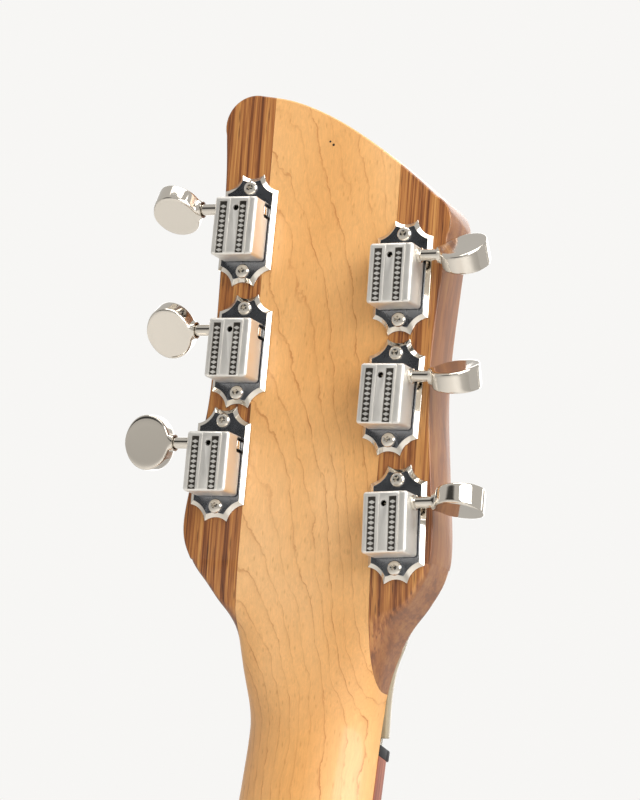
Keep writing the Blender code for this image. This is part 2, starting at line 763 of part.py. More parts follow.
treble_wing = body_wing(treble_outline)
(cavity_x, cavity_z) = CAVITY
combine(treble_wing, box((cavity_x[0], CAVITY_FLOOR, cavity_z[0]),
                         (cavity_x[1], BODY_BACK + 5, cavity_z[1])))
lip = 4.0
lid_seat = BODY_BACK - LID_THICKNESS - GAP
combine(treble_wing, box((cavity_x[0] - lip, lid_seat, cavity_z[0] - lip),
                         (cavity_x[1] + lip, BODY_BACK + 6, cavity_z[1] + lip)))
control_holes = [rod((x, -5, z), (x, CAVITY_FLOOR + 4, z), radius, 16)
                 for (x, z), radius in ((VOLUME_PLACE, 4.9), (TONE_PLACE, 4.9), (SELECTOR_PLACE, 5.9))]
combine(treble_wing, group(control_holes))
combine(treble_wing, rod((JACK_PLACE[0], -5, JACK_PLACE[1]), (JACK_PLACE[0], 30, JACK_PLACE[1]), 7.0, 16))
finish(treble_wing, "body_wing_treble", "walnut")

edge = lip - GAP
control_cover = box((cavity_x[0] - edge, lid_seat + GAP, cavity_z[0] - edge),
                    (cavity_x[1] + edge, BODY_BACK, cavity_z[1] + edge))
finish(bevel(control_cover, 0.5, 1), "control_cover", "black_plastic")

# ---- controls: local z points out of the front face ----


def on_front(piece, spot, depth=0.0):
    return place(piece, (spot[0], depth, spot[1]), (90, 0, 0))


pot_floor = -CAVITY_FLOOR - GAP
for control, spot in (("volume", VOLUME_PLACE), ("tone", TONE_PLACE)):
    pot = turned(((4.5, 2.5), (4.5, pot_floor), (12, pot_floor), (12, pot_floor - 9),
                  (3.4, pot_floor - 9), (3.4, 2.5)), 16, closed=True)
    finish(on_front(pot, spot), control + "_pot", "steel")
    # knob and its shaft are one turned piece
    knob = turned(((0, 17), (8.6, 17), (9.6, 16), (10.6, 3.2), (11.4, 2.8), (11.4, 0.9), (8, 0.9), (8, 4.0),
                   (3.0, 4.0), (3.0, pot_floor - 10), (0, pot_floor - 10)), 18)
    finish(on_front(knob, spot), control + "_knob", "black_plastic")
switch = turned(((5.5, 2.5), (5.5, pot_floor), (10, pot_floor), (10, -24), (3.6, -24),
                 (3.6, 2.5)), 16, closed=True)
finish(on_front(switch, SELECTOR_PLACE), "selector_switch", "steel")
lever = turned(((0, 22), (2.6, 21.2), (3.6, 19), (3.2, 16.6), (1.6, 14), (1.5, -6), (0, -6)), 12)
SELECTOR_PIVOT = 3.0
lever.data.transform(Matrix.Translation((0, 0, SELECTOR_PIVOT * MM)))
finish(on_front(lever, SELECTOR_PLACE, SELECTOR_PIVOT), "selector_lever", "cream_plastic")

# ---- output jack: tube and round flange in one ----

jack = turned(((12, -0.2), (5.8, -0.2), (5.8, -22), (3.6, -22), (3.6, 4.4), (7.6, 4.4), (7.6, 2.2),
               (11.2, 2.2), (12, 1.4)), 16, closed=True)
finish(on_front(jack, JACK_PLACE), "output_jack", "nickel")

# ---- pickguard ----

guard_outline = smooth_path((
    (46, -464), (74, -452), (112, -466), (124, -505), (114, -545), (112, -582), (98, -606), (72, -616),
    (52, -606), (46, -560), (45.5, -510)), 3)
guard = place(slab(guard_outline, 0.1, 2.6), rotation=(90, 0, 0))
finish(bevel(guard, 0.5, 1), "pickguard", "cream_plastic")

# ---- pickups, bridge, tailpiece ----


def front_block(size, z, bottom=-0.1):
    width, length, height = size
    return box((-width / 2, bottom - height, z - length / 2), (width / 2, bottom, z + length / 2))


for label, z in (("neck_pickup", NECK_PICKUP_Z), ("bridge_pickup", BRIDGE_PICKUP_Z)):
    finish(bevel(front_block(PICKUP_SIZE, z), 2.0, 2), label, "nickel")

# bridge: a bar with six saddles joined on top
bridge = bake(bevel(front_block(BRIDGE_SIZE, -SCALE_LENGTH), 1.2, 2))
bridge_top = -0.1 - BRIDGE_SIZE[2]
saddles = [box((x - 3.6, SADDLE_TOP, -SCALE_LENGTH - 3), (x + 3.6, bridge_top + 2, -SCALE_LENGTH + 3))
           for nut_x, x, radius, tuner in STRINGS]
combine(bridge, group(saddles), "UNION")
finish(bridge, "bridge", "nickel")
finish(bevel(front_block(TAILPIECE_SIZE, TAILPIECE_Z), 3.0, 2), "tailpiece", "nickel")

# ---- strap buttons: one at the tail end, one behind the bass horn ----

strap_profile = ((0, 12.2), (4.5, 12.2), (7, 11), (7, 9.6), (3.4, 7), (3.4, 3), (6, 0.9), (6, 0.3), (0, 0.3))
finish(place(turned(strap_profile, 16), (0, 20, BODY_END), (180, 0, 0)), "strap_button_tail", "nickel")
finish(place(turned(strap_profile, 16), (-96, BODY_BACK, -362), (-90, 0, 0)), "strap_button_horn", "nickel")
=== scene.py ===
import math
import random
from functools import partial

import bmesh
import bpy
from mathutils import Matrix, Vector


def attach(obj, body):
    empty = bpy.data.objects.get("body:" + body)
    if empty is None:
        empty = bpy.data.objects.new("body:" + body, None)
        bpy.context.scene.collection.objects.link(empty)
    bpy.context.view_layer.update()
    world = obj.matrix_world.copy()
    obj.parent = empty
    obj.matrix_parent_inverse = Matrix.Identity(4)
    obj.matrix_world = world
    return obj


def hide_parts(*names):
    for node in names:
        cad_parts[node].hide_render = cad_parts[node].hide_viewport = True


# Six-string electric guitar seen from behind its headstock: maple between walnut wings,
# enclosed nickel tuners. Lengths are millimetres here and turned to metres in the meshes.
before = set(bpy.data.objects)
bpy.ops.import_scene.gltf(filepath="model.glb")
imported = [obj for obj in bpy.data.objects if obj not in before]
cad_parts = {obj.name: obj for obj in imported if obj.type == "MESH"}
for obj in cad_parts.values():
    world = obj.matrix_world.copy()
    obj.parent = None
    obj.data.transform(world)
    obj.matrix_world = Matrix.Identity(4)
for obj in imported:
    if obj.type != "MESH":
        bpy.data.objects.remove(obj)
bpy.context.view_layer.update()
mm = 0.001
random.seed(7)


def hexColor(code, alpha=1.0):
    channels = [int(code[i:i + 2], 16) / 255 for i in (0, 2, 4)]
    return (*[c / 12.92 if c <= 0.04045 else ((c + 0.055) / 1.055) ** 2.4 for c in channels], alpha)


def addNode(tree, kind, inputs=(), out=0, **settings):
    # inputs by name or in order, each a value or a socket to link from; gives the chosen output socket
    node = tree.nodes.new("ShaderNode" + kind)
    for name, value in settings.items():
        setattr(node, name, value)
    for name, value in inputs.items() if isinstance(inputs, dict) else enumerate(inputs):
        if isinstance(value, bpy.types.NodeSocket):
            tree.links.new(value, node.inputs[name])
        else:
            node.inputs[name].default_value = value
    return node.outputs[out]


def newMaterial(name, settings):
    material = bpy.data.materials.new(name)
    material.use_nodes = True
    for socket, value in settings.items():
        material.node_tree.nodes["Principled BSDF"].inputs[socket].default_value = value
    return material, partial(addNode, material.node_tree)


def connected(material, sockets):
    tree = material.node_tree
    for name, source in sockets.items():
        tree.links.new(source, tree.nodes["Principled BSDF"].inputs[name])
    return material


def rampOf(socket, stops):
    # socket: the colour output of a new ramp
    elements = socket.node.color_ramp.elements
    elements.remove(elements[-1])
    elements[0].position, elements[0].color = stops[0]
    for position, color in stops[1:]:
        elements.new(position).color = color
    return socket


# woods
mapleLook = {
    "honey": "EDB370", "pale": "F5C389", "deep": "DE9F59", "line": "AC6228", "fleck": "B0722F",
    "ringSpacing": 3.1,      # mm between growth rings
    "pith": (30.0, -4.5),    # mm, the tree's centre line, parallel to the neck
    "mottle": 2.4,           # mm, soft light and dark patches
    "fibre": 0.45,           # mm, width of a fibre streak, drawn coarse enough to show
}
ringInk = ((0.0, 0.10), (0.05, 0), (0.72, 0.05), (0.90, 0.24), (0.95, 0.85), (0.975, 0.85), (1.0, 0.1))


def makeMaple():
    # hard maple under clear gloss lacquer: warm, even and fine, with thin wandering growth lines;
    # the rings stand round a line parallel to the neck, so the tilted headstock cuts them at a slant
    look = mapleLook
    material, node = newMaterial("glossLacqueredMaple", {
        "Roughness": 0.47, "IOR": 1.5, "Coat Weight": 0.32, "Coat Roughness": 0.08, "Coat IOR": 1.5})
    place = node("TexCoord", out="Object")
    stretched = node("Mapping", {"Vector": place, "Scale": (1, 1, 0.45)})
    wander = node("TexNoise", {
        "Vector": stretched, "Scale": 1 / 0.021, "Detail": 3.0, "Roughness": 0.55}, "Color")
    ragged = node("TexNoise", {
        "Vector": place, "Scale": 1 / 0.0035, "Detail": 3.0, "Roughness": 0.6}, "Color")
    wanderAway = node("VectorMath", (wander, (0.0085, 0.0085, 0), place), operation="MULTIPLY_ADD")
    raggedAway = node("VectorMath", (ragged, (0.0011, 0.0011, 0), wanderAway), operation="MULTIPLY_ADD")
    pith = [side * mm + 0.0045 for side in look["pith"]]   # the wandering shifts everything by 4.5 mm
    fromPith = node("VectorMath", (raggedAway, (*pith, 0)), operation="SUBTRACT")
    acrossOnly = node("VectorMath", (fromPith, (1, 1, 0)), operation="MULTIPLY")
    radius = node("VectorMath", (acrossOnly,), "Value", operation="LENGTH")
    rings = node("Math", (radius, 1 / (look["ringSpacing"] * mm)), operation="MULTIPLY")
    year = node("Math", (rings,), operation="FRACT")
    ringNumber = node("Math", (rings,), operation="FLOOR")
    ringLuck = node("TexWhiteNoise", {"W": ringNumber}, noise_dimensions="1D")
    ink = rampOf(node("ValToRGB", (year,)), [(spot, (grey, grey, grey, 1)) for spot, grey in ringInk])
    patchy = node("TexNoise", {"Vector": place, "Scale": 1 / 0.007, "Detail": 3.0, "Roughness": 0.6})
    patchFade = node("MapRange", (patchy, 0.35, 0.65, 0.25, 1.0))
    ringFade = node("MapRange", (ringLuck, 0.0, 1.0, 0.3, 0.95))
    fade = node("Math", (patchFade, ringFade), operation="MULTIPLY")
    lineShare = node("Math", (ink, fade), operation="MULTIPLY")
    broad = node("TexNoise", {"Vector": stretched, "Scale": 1 / 0.045, "Detail": 2.0})
    ground = rampOf(node("ValToRGB", (broad,)), [
        (0.3, hexColor(look["deep"])), (0.5, hexColor(look["honey"])), (0.72, hexColor(look["pale"]))])
    fibreSpace = node("Mapping", {"Vector": raggedAway, "Scale": (1, 1, 0.035)})
    fibre = node("TexNoise", {
        "Vector": fibreSpace, "Scale": 1000 / look["fibre"], "Detail": 2.0, "Roughness": 0.7})
    curlSpace = node("Mapping", {"Vector": place, "Scale": (1, 1, 0.5)})
    curl = node("TexNoise", {
        "Vector": curlSpace, "Scale": 1000 / look["mottle"], "Detail": 4.0, "Roughness": 0.7})
    figure = node("Math", (curl, 0.7, fibre), operation="MULTIPLY_ADD")
    fibreTone = node("MapRange", (figure, 0.55, 1.15, 0.88, 1.08))
    fleckSpace = node("Mapping", {"Vector": place, "Scale": (1, 1, 0.28)})
    fleck = node("TexVoronoi", {"Vector": fleckSpace, "Scale": 1 / 0.0017, "Randomness": 1.0})
    fleckInk = node("MapRange", (fleck, 0.06, 0.22, 0.34, 0.0))
    fibred = node("VectorMath", {0: ground, "Scale": fibreTone}, operation="SCALE")
    flecked = node("Mix", {0: fleckInk, 6: fibred, 7: hexColor(look["fleck"])}, 2, data_type="RGBA")
    lined = node("Mix", {0: lineShare, 6: flecked, 7: hexColor(look["line"])}, 2, data_type="RGBA")
    bump = node("Bump", {"Strength": 0.12, "Distance": 0.00004, "Height": fibre})
    return connected(material, {"Base Color": lined, "Normal": bump})


walnutLook = {
    "stops": (("4A2611", 0.26), ("7C4520", 0.39), ("A86A36", 0.5), ("C28648", 0.62), ("D59C5A", 0.78)),
    "side": "855635",       # where an edge cuts across the grain
    "pore": "40210F",
    "bandWidth": 2.6,       # mm, broad colour bands
    "streakWidth": 0.8,     # mm
    "poreLength": 5.0,      # mm, open pores show as dark dashes
}


def makeWalnut(name, lean):
    # black walnut under the same lacquer: straight reddish-brown stripes with dark dashes of open pores,
    # its grain leaning back from the neck by `lean` degrees
    look, leaning = walnutLook, math.radians(lean)
    material, node = newMaterial(name, {
        "Roughness": 0.48, "IOR": 1.5, "Coat Weight": 0.45, "Coat Roughness": 0.09, "Coat IOR": 1.5})
    place = node("Mapping", {"Vector": node("TexCoord", out="Object"), "Rotation": (leaning, 0, 0)})
    swaySpace = node("Mapping", {"Vector": place, "Scale": (1, 1, 0.3)})
    sway = node("TexNoise", {"Vector": swaySpace, "Scale": 1 / 0.05, "Detail": 1.0}, "Color")
    swayed = node("VectorMath", (sway, (0.007, 0.007, 0), place), operation="MULTIPLY_ADD")
    bandSpace = node("Mapping", {"Vector": swayed, "Scale": (1, 0.35, 0.014)})
    band = node("TexNoise", {
        "Vector": bandSpace, "Scale": 1000 / look["bandWidth"], "Detail": 4.0, "Roughness": 0.62})
    streak = node("TexNoise", {
        "Vector": bandSpace, "Scale": 1000 / look["streakWidth"], "Detail": 3.0, "Roughness": 0.7})
    streakPart = node("Math", (streak, 0.8, -0.4), operation="MULTIPLY_ADD")
    tone = node("Math", (band, streakPart), operation="ADD")
    color = rampOf(node("ValToRGB", (tone,)), [
        (position, hexColor(code)) for code, position in look["stops"]])
    poreSpace = node("Mapping", {"Vector": swayed, "Scale": (1, 1, 0.45 / look["poreLength"])})
    pore = node("TexVoronoi", {"Vector": poreSpace, "Scale": 1 / 0.0011, "Randomness": 1.0})
    poreInk = node("MapRange", (pore, 0.10, 0.26, 0.62, 0.0))
    pored = node("Mix", {0: poreInk, 6: color, 7: hexColor(look["pore"])}, 2, data_type="RGBA")
    normal = node("NewGeometry", out="Normal")
    outOfHead = (0, math.cos(leaning), -math.sin(leaning))
    facing = node("VectorMath", (normal, outOfHead), "Value", operation="DOT_PRODUCT")
    flat = node("Math", (facing,), operation="ABSOLUTE")
    evenShare = node("MapRange", (flat, 0.5, 0.92, 0.72, 0.0))   # edges cut across the grain look more even
    sided = node("Mix", {0: evenShare, 6: pored, 7: hexColor(look["side"])}, 2, data_type="RGBA")
    bump = node("Bump", {"Strength": 0.18, "Distance": 0.00005, "Height": pore})
    return connected(material, {"Base Color": sided, "Normal": bump})


def makeRosewood():
    # oiled rosewood: dull reddish brown with dark open pores and no lacquer
    material, node = newMaterial("oiledRosewood", {"Roughness": 0.5, "IOR": 1.48})
    place = node("TexCoord", out="Object")
    space = node("Mapping", {"Vector": place, "Scale": (1, 1, 0.03)})
    band = node("TexNoise", {"Vector": space, "Scale": 1 / 0.0016, "Detail": 4.0, "Roughness": 0.65})
    color = rampOf(node("ValToRGB", (band,)), [
        (0.3, hexColor("6A3524")), (0.5, hexColor("96523A")), (0.7, hexColor("B4694C"))])
    poreSpace = node("Mapping", {"Vector": place, "Scale": (1, 1, 0.1)})
    pore = node("TexVoronoi", {"Vector": poreSpace, "Scale": 1 / 0.0009})
    poreInk = node("MapRange", (pore, 0.1, 0.25, 0.7, 0.0))
    pored = node("Mix", {0: poreInk, 6: color, 7: hexColor("2A120B")}, 2, data_type="RGBA")
    bump = node("Bump", {"Strength": 0.3, "Distance": 0.00006, "Height": pore})
    return connected(material, {"Base Color": pored, "Normal": bump})


def makeMetal(name, color, roughness, grain, grainStretch, grainDepth, unevenness):
    # grain is the width of a polishing mark in mm; grainStretch lengthens it along one axis
    material, node = newMaterial(name, {"Base Color": hexColor(color), "Metallic": 1.0})
    place = node("TexCoord", out="Object")
    space = node("Mapping", {"Vector": place, "Scale": grainStretch})
    marks = node("TexNoise", {"Vector": space, "Scale": 1000 / grain, "Detail": 3.0, "Roughness": 0.6})
    haze = node("TexNoise", {"Vector": place, "Scale": 1 / 0.006, "Detail": 3.0})
    rough = node("MapRange", (haze, 0.3, 0.7, roughness - unevenness, roughness + unevenness))
    bump = node("Bump", {"Strength": 0.5, "Distance": grainDepth * mm, "Height": marks})
    return connected(material, {"Roughness": rough, "Normal": bump})


def makePlastic(name, color, roughness, coat, mottle, grain):
    # moulded or cut plastic: nearly even colour, a fine moulding grain and a little uneven gloss
    material, node = newMaterial(name, {"IOR": 1.49, "Coat Weight": coat, "Coat Roughness": 0.1})
    place = node("TexCoord", out="Object")
    cloud = node("TexNoise", {"Vector": place, "Scale": 1 / 0.012, "Detail": 4.0})
    tone = node("MapRange", (cloud, 0.3, 0.7, 1 - mottle, 1 + mottle))
    tinted = node("VectorMath", {0: hexColor(color)[:3], "Scale": tone}, operation="SCALE")
    fine = node("TexNoise", {"Vector": place, "Scale": 1000 / grain, "Detail": 2.0})
    rough = node("MapRange", (cloud, 0.3, 0.7, roughness - 0.05, roughness + 0.05))
    bump = node("Bump", {"Strength": 0.25, "Distance": 0.00003, "Height": fine})
    return connected(material, {"Base Color": tinted, "Roughness": rough, "Normal": bump})


maple = makeMaple()
walnut = makeWalnut("glossLacqueredWalnut", 0)
headWalnut = makeWalnut("headstockWalnut", 10)
rosewood = makeRosewood()
# bright nickel plate, buffed: a warm mirror with faint polishing haze
nickel = makeMetal("buffedNickelPlate", "DDD6CB", 0.07, 0.5, (1, 1, 0.3), 0.004, 0.03)
# nickel brushed along the neck: fine straight lines that spread the light into a soft band
brushedNickel = makeMetal("brushedNickelPlate", "F0EDE7", 0.5, 0.22, (1, 1, 0.03), 0.010, 0.05)
# flat of the plate inside its polished rim: satin nickel given a darker grey base colour as painted
# reflection and shade
paintedReflectionNickel = makeMetal("nickelPlateFlatPaintedReflection", "8C8F95", 0.26, 0.4, (1, 1, 0.4), 0.004, 0.05)
# recess floor darkened by old polish and oxide
darkNickel = makeMetal("oxidisedNickel", "5E5A55", 0.4, 0.3, (1, 1, 1), 0.02, 0.08)
# drawn steel of plain strings and screws
steel = makeMetal("drawnSteel", "BDBDBF", 0.2, 0.3, (1, 1, 0.05), 0.006, 0.04)
# nickel-wound string: turns of wire round a core, 0.25 mm apart, drawn as fine rings
windings = makeMetal("nickelWoundString", "C6BFB2", 0.25, 0.35, (0.01, 0.01, 1), 0.06, 0.05)
# plastics: dull black bone-like nut, cream sheet darkened to a grey-brown as painted shade, glossy black
# mouldings, flat felt, pearly dots
blackNut = makePlastic("blackNutBlank", "1C1A1C", 0.35, 0.2, 0.06, 0.2)
# the cream is the sheet's own colour; its grey-brown darkening is painted shade from the truss cover's shaded
# edge
creamPlastic = makePlastic("creamAcrylicPaintedShade", "A99A7E", 0.28, 0.5, 0.03, 0.4)
blackPlastic = makePlastic("blackMouldedPhenolic", "151415", 0.32, 0.3, 0.08, 0.3)
felt = makePlastic("blackFeltWasher", "1E1B1A", 0.9, 0.0, 0.2, 0.15)
pearl = makePlastic("pearloidAcrylic", "E6E2D6", 0.2, 0.6, 0.09, 0.5)
print("materials made")


# mesh helpers
def smoothed(mesh, smoothAngle=32.0):
    mesh.shade_smooth()
    mesh.set_sharp_from_angle(angle=math.radians(smoothAngle))
    return mesh


def meshOf(shape, smoothAngle=32.0):
    bmesh.ops.recalc_face_normals(shape, faces=shape.faces)
    mesh = bpy.data.meshes.new("mesh")
    shape.to_mesh(mesh)
    shape.free()
    return smoothed(mesh, smoothAngle)


def tempObject(mesh):
    piece = bpy.data.objects.new("temp", mesh)
    bpy.context.scene.collection.objects.link(piece)
    return piece


def applied(piece):
    # mesh with the object's modifiers done; the object goes
    bpy.context.view_layer.update()
    graph = bpy.context.evaluated_depsgraph_get()
    mesh = bpy.data.meshes.new_from_object(piece.evaluated_get(graph))
    bpy.data.objects.remove(piece, do_unlink=True)
    return mesh


def combined(mesh, tool, operation="DIFFERENCE", smoothAngle=32.0):
    piece, cutter = tempObject(mesh), tempObject(tool)
    modifier = piece.modifiers.new("boolean", "BOOLEAN")
    modifier.operation = operation
    modifier.solver = "EXACT"
    modifier.object = cutter
    result = applied(piece)
    bpy.data.objects.remove(cutter, do_unlink=True)
    return smoothed(result, smoothAngle)


def carved(mesh, tools):
    for tool in tools:
        mesh = combined(mesh, tool)
    return mesh


def bevelled(mesh, width, segments=3, angle=40.0):
    piece = tempObject(mesh)
    modifier = piece.modifiers.new("bevel", "BEVEL")
    modifier.width = width * mm
    modifier.segments = segments
    modifier.limit_method = "ANGLE"
    modifier.angle_limit = math.radians(angle)
    return smoothed(applied(piece))


def boxMesh(low, high):
    low, high = Vector(low), Vector(high)
    shape = bmesh.new()
    bmesh.ops.create_cube(shape, size=1.0, matrix=Matrix.Translation((low + high) / 2 * mm)
                          @ Matrix.Diagonal((*((high - low) * mm), 1.0)))
    return meshOf(shape)


def rodMesh(start, end, radius, sides=32):
    start, end = Vector(start), Vector(end)
    turn = (end - start).to_track_quat("Z", "Y").to_matrix().to_4x4()
    shape = bmesh.new()
    bmesh.ops.create_cone(shape, cap_ends=True, segments=sides, radius1=radius * mm, radius2=radius * mm,
                          depth=(end - start).length * mm,
                          matrix=Matrix.Translation((start + end) / 2 * mm) @ turn)
    return meshOf(shape)


def latheMesh(profile, steps=48, closed=False, ripple=None):
    # profile: (radius, height) points turned about z; ripple(angle, radius, height) changes the radius
    shape = bmesh.new()
    rows = []
    for radius, height in profile:
        if radius < 1e-6:
            rows.append([shape.verts.new((0, 0, height * mm))])
            continue
        row = []
        for step in range(steps):
            angle = 2 * math.pi * step / steps
            far = (radius if ripple is None else ripple(angle, radius, height)) * mm
            row.append(shape.verts.new((far * math.cos(angle), far * math.sin(angle), height * mm)))
        rows.append(row)
    pairs = list(zip(rows, rows[1:])) + ([(rows[-1], rows[0])] if closed else [])
    for upper, lower in pairs:
        for step in range(steps):
            after = (step + 1) % steps
            corners = [upper[step % len(upper)], upper[after % len(upper)],
                       lower[after % len(lower)], lower[step % len(lower)]]
            corners = [c for i, c in enumerate(corners) if c not in corners[:i]]
            if len(corners) > 2:
                shape.faces.new(corners)
    return meshOf(shape)


def stitched(shape, rows, smoothAngle=32.0):
    # side faces from ring to ring and a cap on each end
    for lower, upper in zip(rows, rows[1:]):
        for i in range(len(lower)):
            j = (i + 1) % len(lower)
            shape.faces.new((lower[i], lower[j], upper[j], upper[i]))
    shape.faces.new(rows[0])
    shape.faces.new(rows[-1])
    return meshOf(shape, smoothAngle)


def loftMesh(rings, smoothAngle=32.0):
    shape = bmesh.new()
    return stitched(shape, [[shape.verts.new(Vector(p) * mm) for p in ring] for ring in rings], smoothAngle)


def slabMesh(outline, low, high):
    shape = bmesh.new()
    return stitched(shape, [[shape.verts.new((x * mm, y * mm, level * mm)) for x, y in outline]
                            for level in (low, high)])


def joinedMesh(meshes):
    shape = bmesh.new()
    for mesh in meshes:
        shape.from_mesh(mesh)
    return meshOf(shape)


def moved(mesh, matrix):
    result = mesh.copy()
    result.transform(matrix)
    if matrix.determinant() < 0:
        result.flip_normals()
    return result


def at(x, y, z, turn=0.0, axis="Z"):
    return Matrix.Translation(Vector((x, y, z)) * mm) @ Matrix.Rotation(math.radians(turn), 4, axis)


def addPiece(mesh, name, material, replaces=(), body="guitar"):
    piece = bpy.data.objects.new(name, mesh)
    bpy.context.scene.collection.objects.link(piece)
    for each in material if isinstance(material, tuple) else (material,):
        mesh.materials.append(each)
    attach(piece, body)
    if replaces:
        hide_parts(*replaces)


def smoothPath(points, steps):
    padded = [points[0], *points, points[-1]]
    result = []
    for before, start, end, after in zip(padded, padded[1:], padded[2:], padded[3:]):
        for step in range(steps):
            t = step / steps
            result.append(tuple(
                0.5 * (2 * b + (c - a) * t + (2 * a - 5 * b + 4 * c - d) * t * t
                       + (3 * b - a - 3 * c + d) * t ** 3)
                for a, b, c, d in zip(before, start, end, after)))
    return result + [tuple(points[-1])]


def arcOf(start, end, sag):
    # centre and radius of a shallow arc that bows to the left of start -> end when sag is positive
    start, end = Vector(start), Vector(end)
    half = (end - start).length / 2
    radius = (half * half + sag * sag) / (2 * abs(sag))
    side = Vector((start.y - end.y, end.x - start.x)).normalized() * math.copysign(1, sag)
    return (start + end) / 2 - side * (radius - abs(sag)), radius


def arcBetween(centre, radius, start, end, steps):
    # the short way round; start and end give the angles only
    first = math.atan2(start[1] - centre[1], start[0] - centre[0])
    turn = (math.atan2(end[1] - centre[1], end[0] - centre[0]) - first + math.pi) % (2 * math.pi) - math.pi
    return [(centre[0] + radius * math.cos(first + turn * i / steps),
             centre[1] + radius * math.sin(first + turn * i / steps)) for i in range(steps + 1)]


def arcThrough(start, end, sag, steps):
    return arcBetween(*arcOf(start, end, sag), start, end, steps)


def sideAt(path, height):
    for (x0, y0), (x1, y1) in zip(path, path[1:]):
        if min(y0, y1) <= height <= max(y0, y1) and y0 != y1:
            return x0 + (x1 - x0) * (height - y0) / (y1 - y0)
    return path[0][0]


# headstock and neck wood
headstock = {
    "tilt": 10.0, "thickness": 17.25,
    "origin": (0.0, 45.03, 146.54),   # u = v = w = 0, on the back face
    "footTilt": 14.35,      # the foot leans back further than the head
    "footTop": -88.0,       # v where the front face bends
    "footBack": -100.0,     # v where the back face bends
    "coreHalf": 22.1,       # glue line, either side of the centre
    "edgeRound": 2.0,
    "slabStart": -96.0,
}
tilt = math.radians(headstock["tilt"])
headUp = Vector((0, math.sin(tilt), math.cos(tilt)))
headOut = Vector((0, math.cos(tilt), -math.sin(tilt)))
headOrigin = Vector(headstock["origin"])
# u runs to the bass side, v up the headstock, w out of its back face
headAxes = Matrix((Vector((-1, 0, 0)), headUp, headOut)).transposed().to_4x4()
headFrame = Matrix.Translation(headOrigin * mm) @ headAxes

trebleEdge = smoothPath((
    (-21.3, -153), (-21.4, -139), (-22.1, -129.5), (-23.7, -118.5), (-27.2, -110.6), (-32.6, -103.4),
    (-38.5, -96), (-42, -85.5), (-39.8, -66), (-36.9, -46), (-36.6, -20), (-37.4, 22), (-38.7, 40)), 10)
headTop = smoothPath((
    (-28.0, 52.6), (-15.4, 50), (-1.8, 44.2), (11.9, 35.8), (25.5, 25.6), (34.6, 17.8)), 8)
bassEdge = smoothPath((
    (39.3, 5), (38.2, -10), (37.0, -30), (37.2, -46), (39.3, -67.4), (41.4, -88), (40.4, -98),
    (35.6, -106.8), (30.0, -114.2), (25.6, -122), (22.8, -130.5), (21.4, -139), (21.3, -153)), 10)
slabStart = headstock["slabStart"]
headOutline = ([(sideAt(trebleEdge, slabStart), slabStart)] + [p for p in trebleEdge if p[1] > slabStart]
               + arcThrough(trebleEdge[-1], headTop[0], 4.6, 14)[1:-1] + headTop
               + arcThrough(headTop[-1], bassEdge[0], 2.8, 10)[1:-1]
               + [p for p in bassEdge if p[1] > slabStart] + [(sideAt(bassEdge, slabStart), slabStart)])

neck = {
    "halfAtNut": 21.3, "halfAtEnd": 28.1, "boardEnd": -458.0,
    "depthAtNut": 14.3, "depthAtBody": 17.0, "heelStart": -360.0, "bodyTop": -395.0,
}


def headPoint(u, v, w):
    return headOrigin + Vector((-u, 0, 0)) + headUp * v + headOut * w


footSlope = math.tan(math.radians(headstock["footTilt"]))
footBend = headPoint(0, headstock["footTop"], -headstock["thickness"])
backBend = headPoint(0, headstock["footBack"], 0)


def eased(value):
    value = min(1.0, max(0.0, value))
    return value * value * (3 - 2 * value)


def softRamp(value, softness):
    # 0 below zero and the value itself above, with a rounded corner
    return 0.5 * (value + math.sqrt(value * value + softness * softness))


def crownDepth(z):
    share = min(1.0, max(0.0, z / neck["heelStart"]))
    crown = neck["depthAtNut"] + (neck["depthAtBody"] - neck["depthAtNut"]) * share
    if z < neck["heelStart"]:
        crown += 15.0 * ((neck["heelStart"] - z) / (neck["heelStart"] - neck["bodyTop"])) ** 2
    slope = (backBend.y - neck["depthAtNut"]) / backBend.z
    crown += slope * softRamp(z, 7.0)
    return crown - (slope - math.tan(tilt)) * softRamp(z - backBend.z, 3.0)


ringAngles = ([0, 1.2, 2.5, 4, 6, 9, 13] + list(range(18, 60, 5))
              + [60, 63, 66, 69, 72, 74.5, 77, 79, 81, 83, 85, 87, 88.5, 89.6])


def neckRing(z):
    # flat glue face in front, round back; the round turns square as the neck becomes the headstock
    front = max(0.0, footBend.y + (z - footBend.z) * footSlope)
    depth = crownDepth(z) - front
    power = 2.0 + 3.35 * eased((z - 5) / 27)
    squareness = eased((z - 30) / 11)
    taper = min(1.0, max(0.0, z / neck["boardEnd"]))
    rounding = headstock["edgeRound"]
    sides = []
    for side, edge in ((1, trebleEdge), (-1, bassEdge)):
        points = []
        for angle in ringAngles:
            share = math.sin(math.radians(angle))
            y = front + depth * share
            v = (Vector((0, y, z)) - headOrigin).dot(headUp)
            half = (abs(sideAt(edge, v)) if z > 0
                    else neck["halfAtNut"] + (neck["halfAtEnd"] - neck["halfAtNut"]) * taper)
            roundInset = half * (1 - (1 - share ** power) ** (1 / power))
            near = min(depth * share, depth * (1 - share), rounding)
            squareInset = rounding - math.sqrt(rounding ** 2 - (rounding - near) ** 2)
            inset = roundInset + (squareInset - roundInset) * squareness
            hidden = 0.06 * min(1.0, max(0.0, v - slabStart - 0.1))   # stays just inside the head's slab
            points.append((side * (half - inset - hidden), y + hidden * (1 if share < 0.5 else -1), z))
        sides.append(points)
    return sides[0] + sides[1][::-1]


neckStations = ([-402, -395, -388, -380, -370, -360] + list(range(-340, -39, 20))
                + [-30, -20, -14, -10, -7, -4, -2, 0.01, 2, 4, 6, 8, 10, 12, 12.99, 14] 
                + [15.5 + 1.5 * i for i in range(25)] + [53, 54, 55, 56, 57, 58, 59, 60, 62])
wholeHead = bevelled(slabMesh(headOutline, -headstock["thickness"], 0), headstock["edgeRound"], 5)
wholeHead.transform(headFrame)
neckWood = combined(loftMesh([neckRing(z) for z in neckStations]), wholeHead, "UNION")


def headBlock(low, high):
    return moved(boxMesh((low, -145, -60), (high, 80, 30)), headFrame)


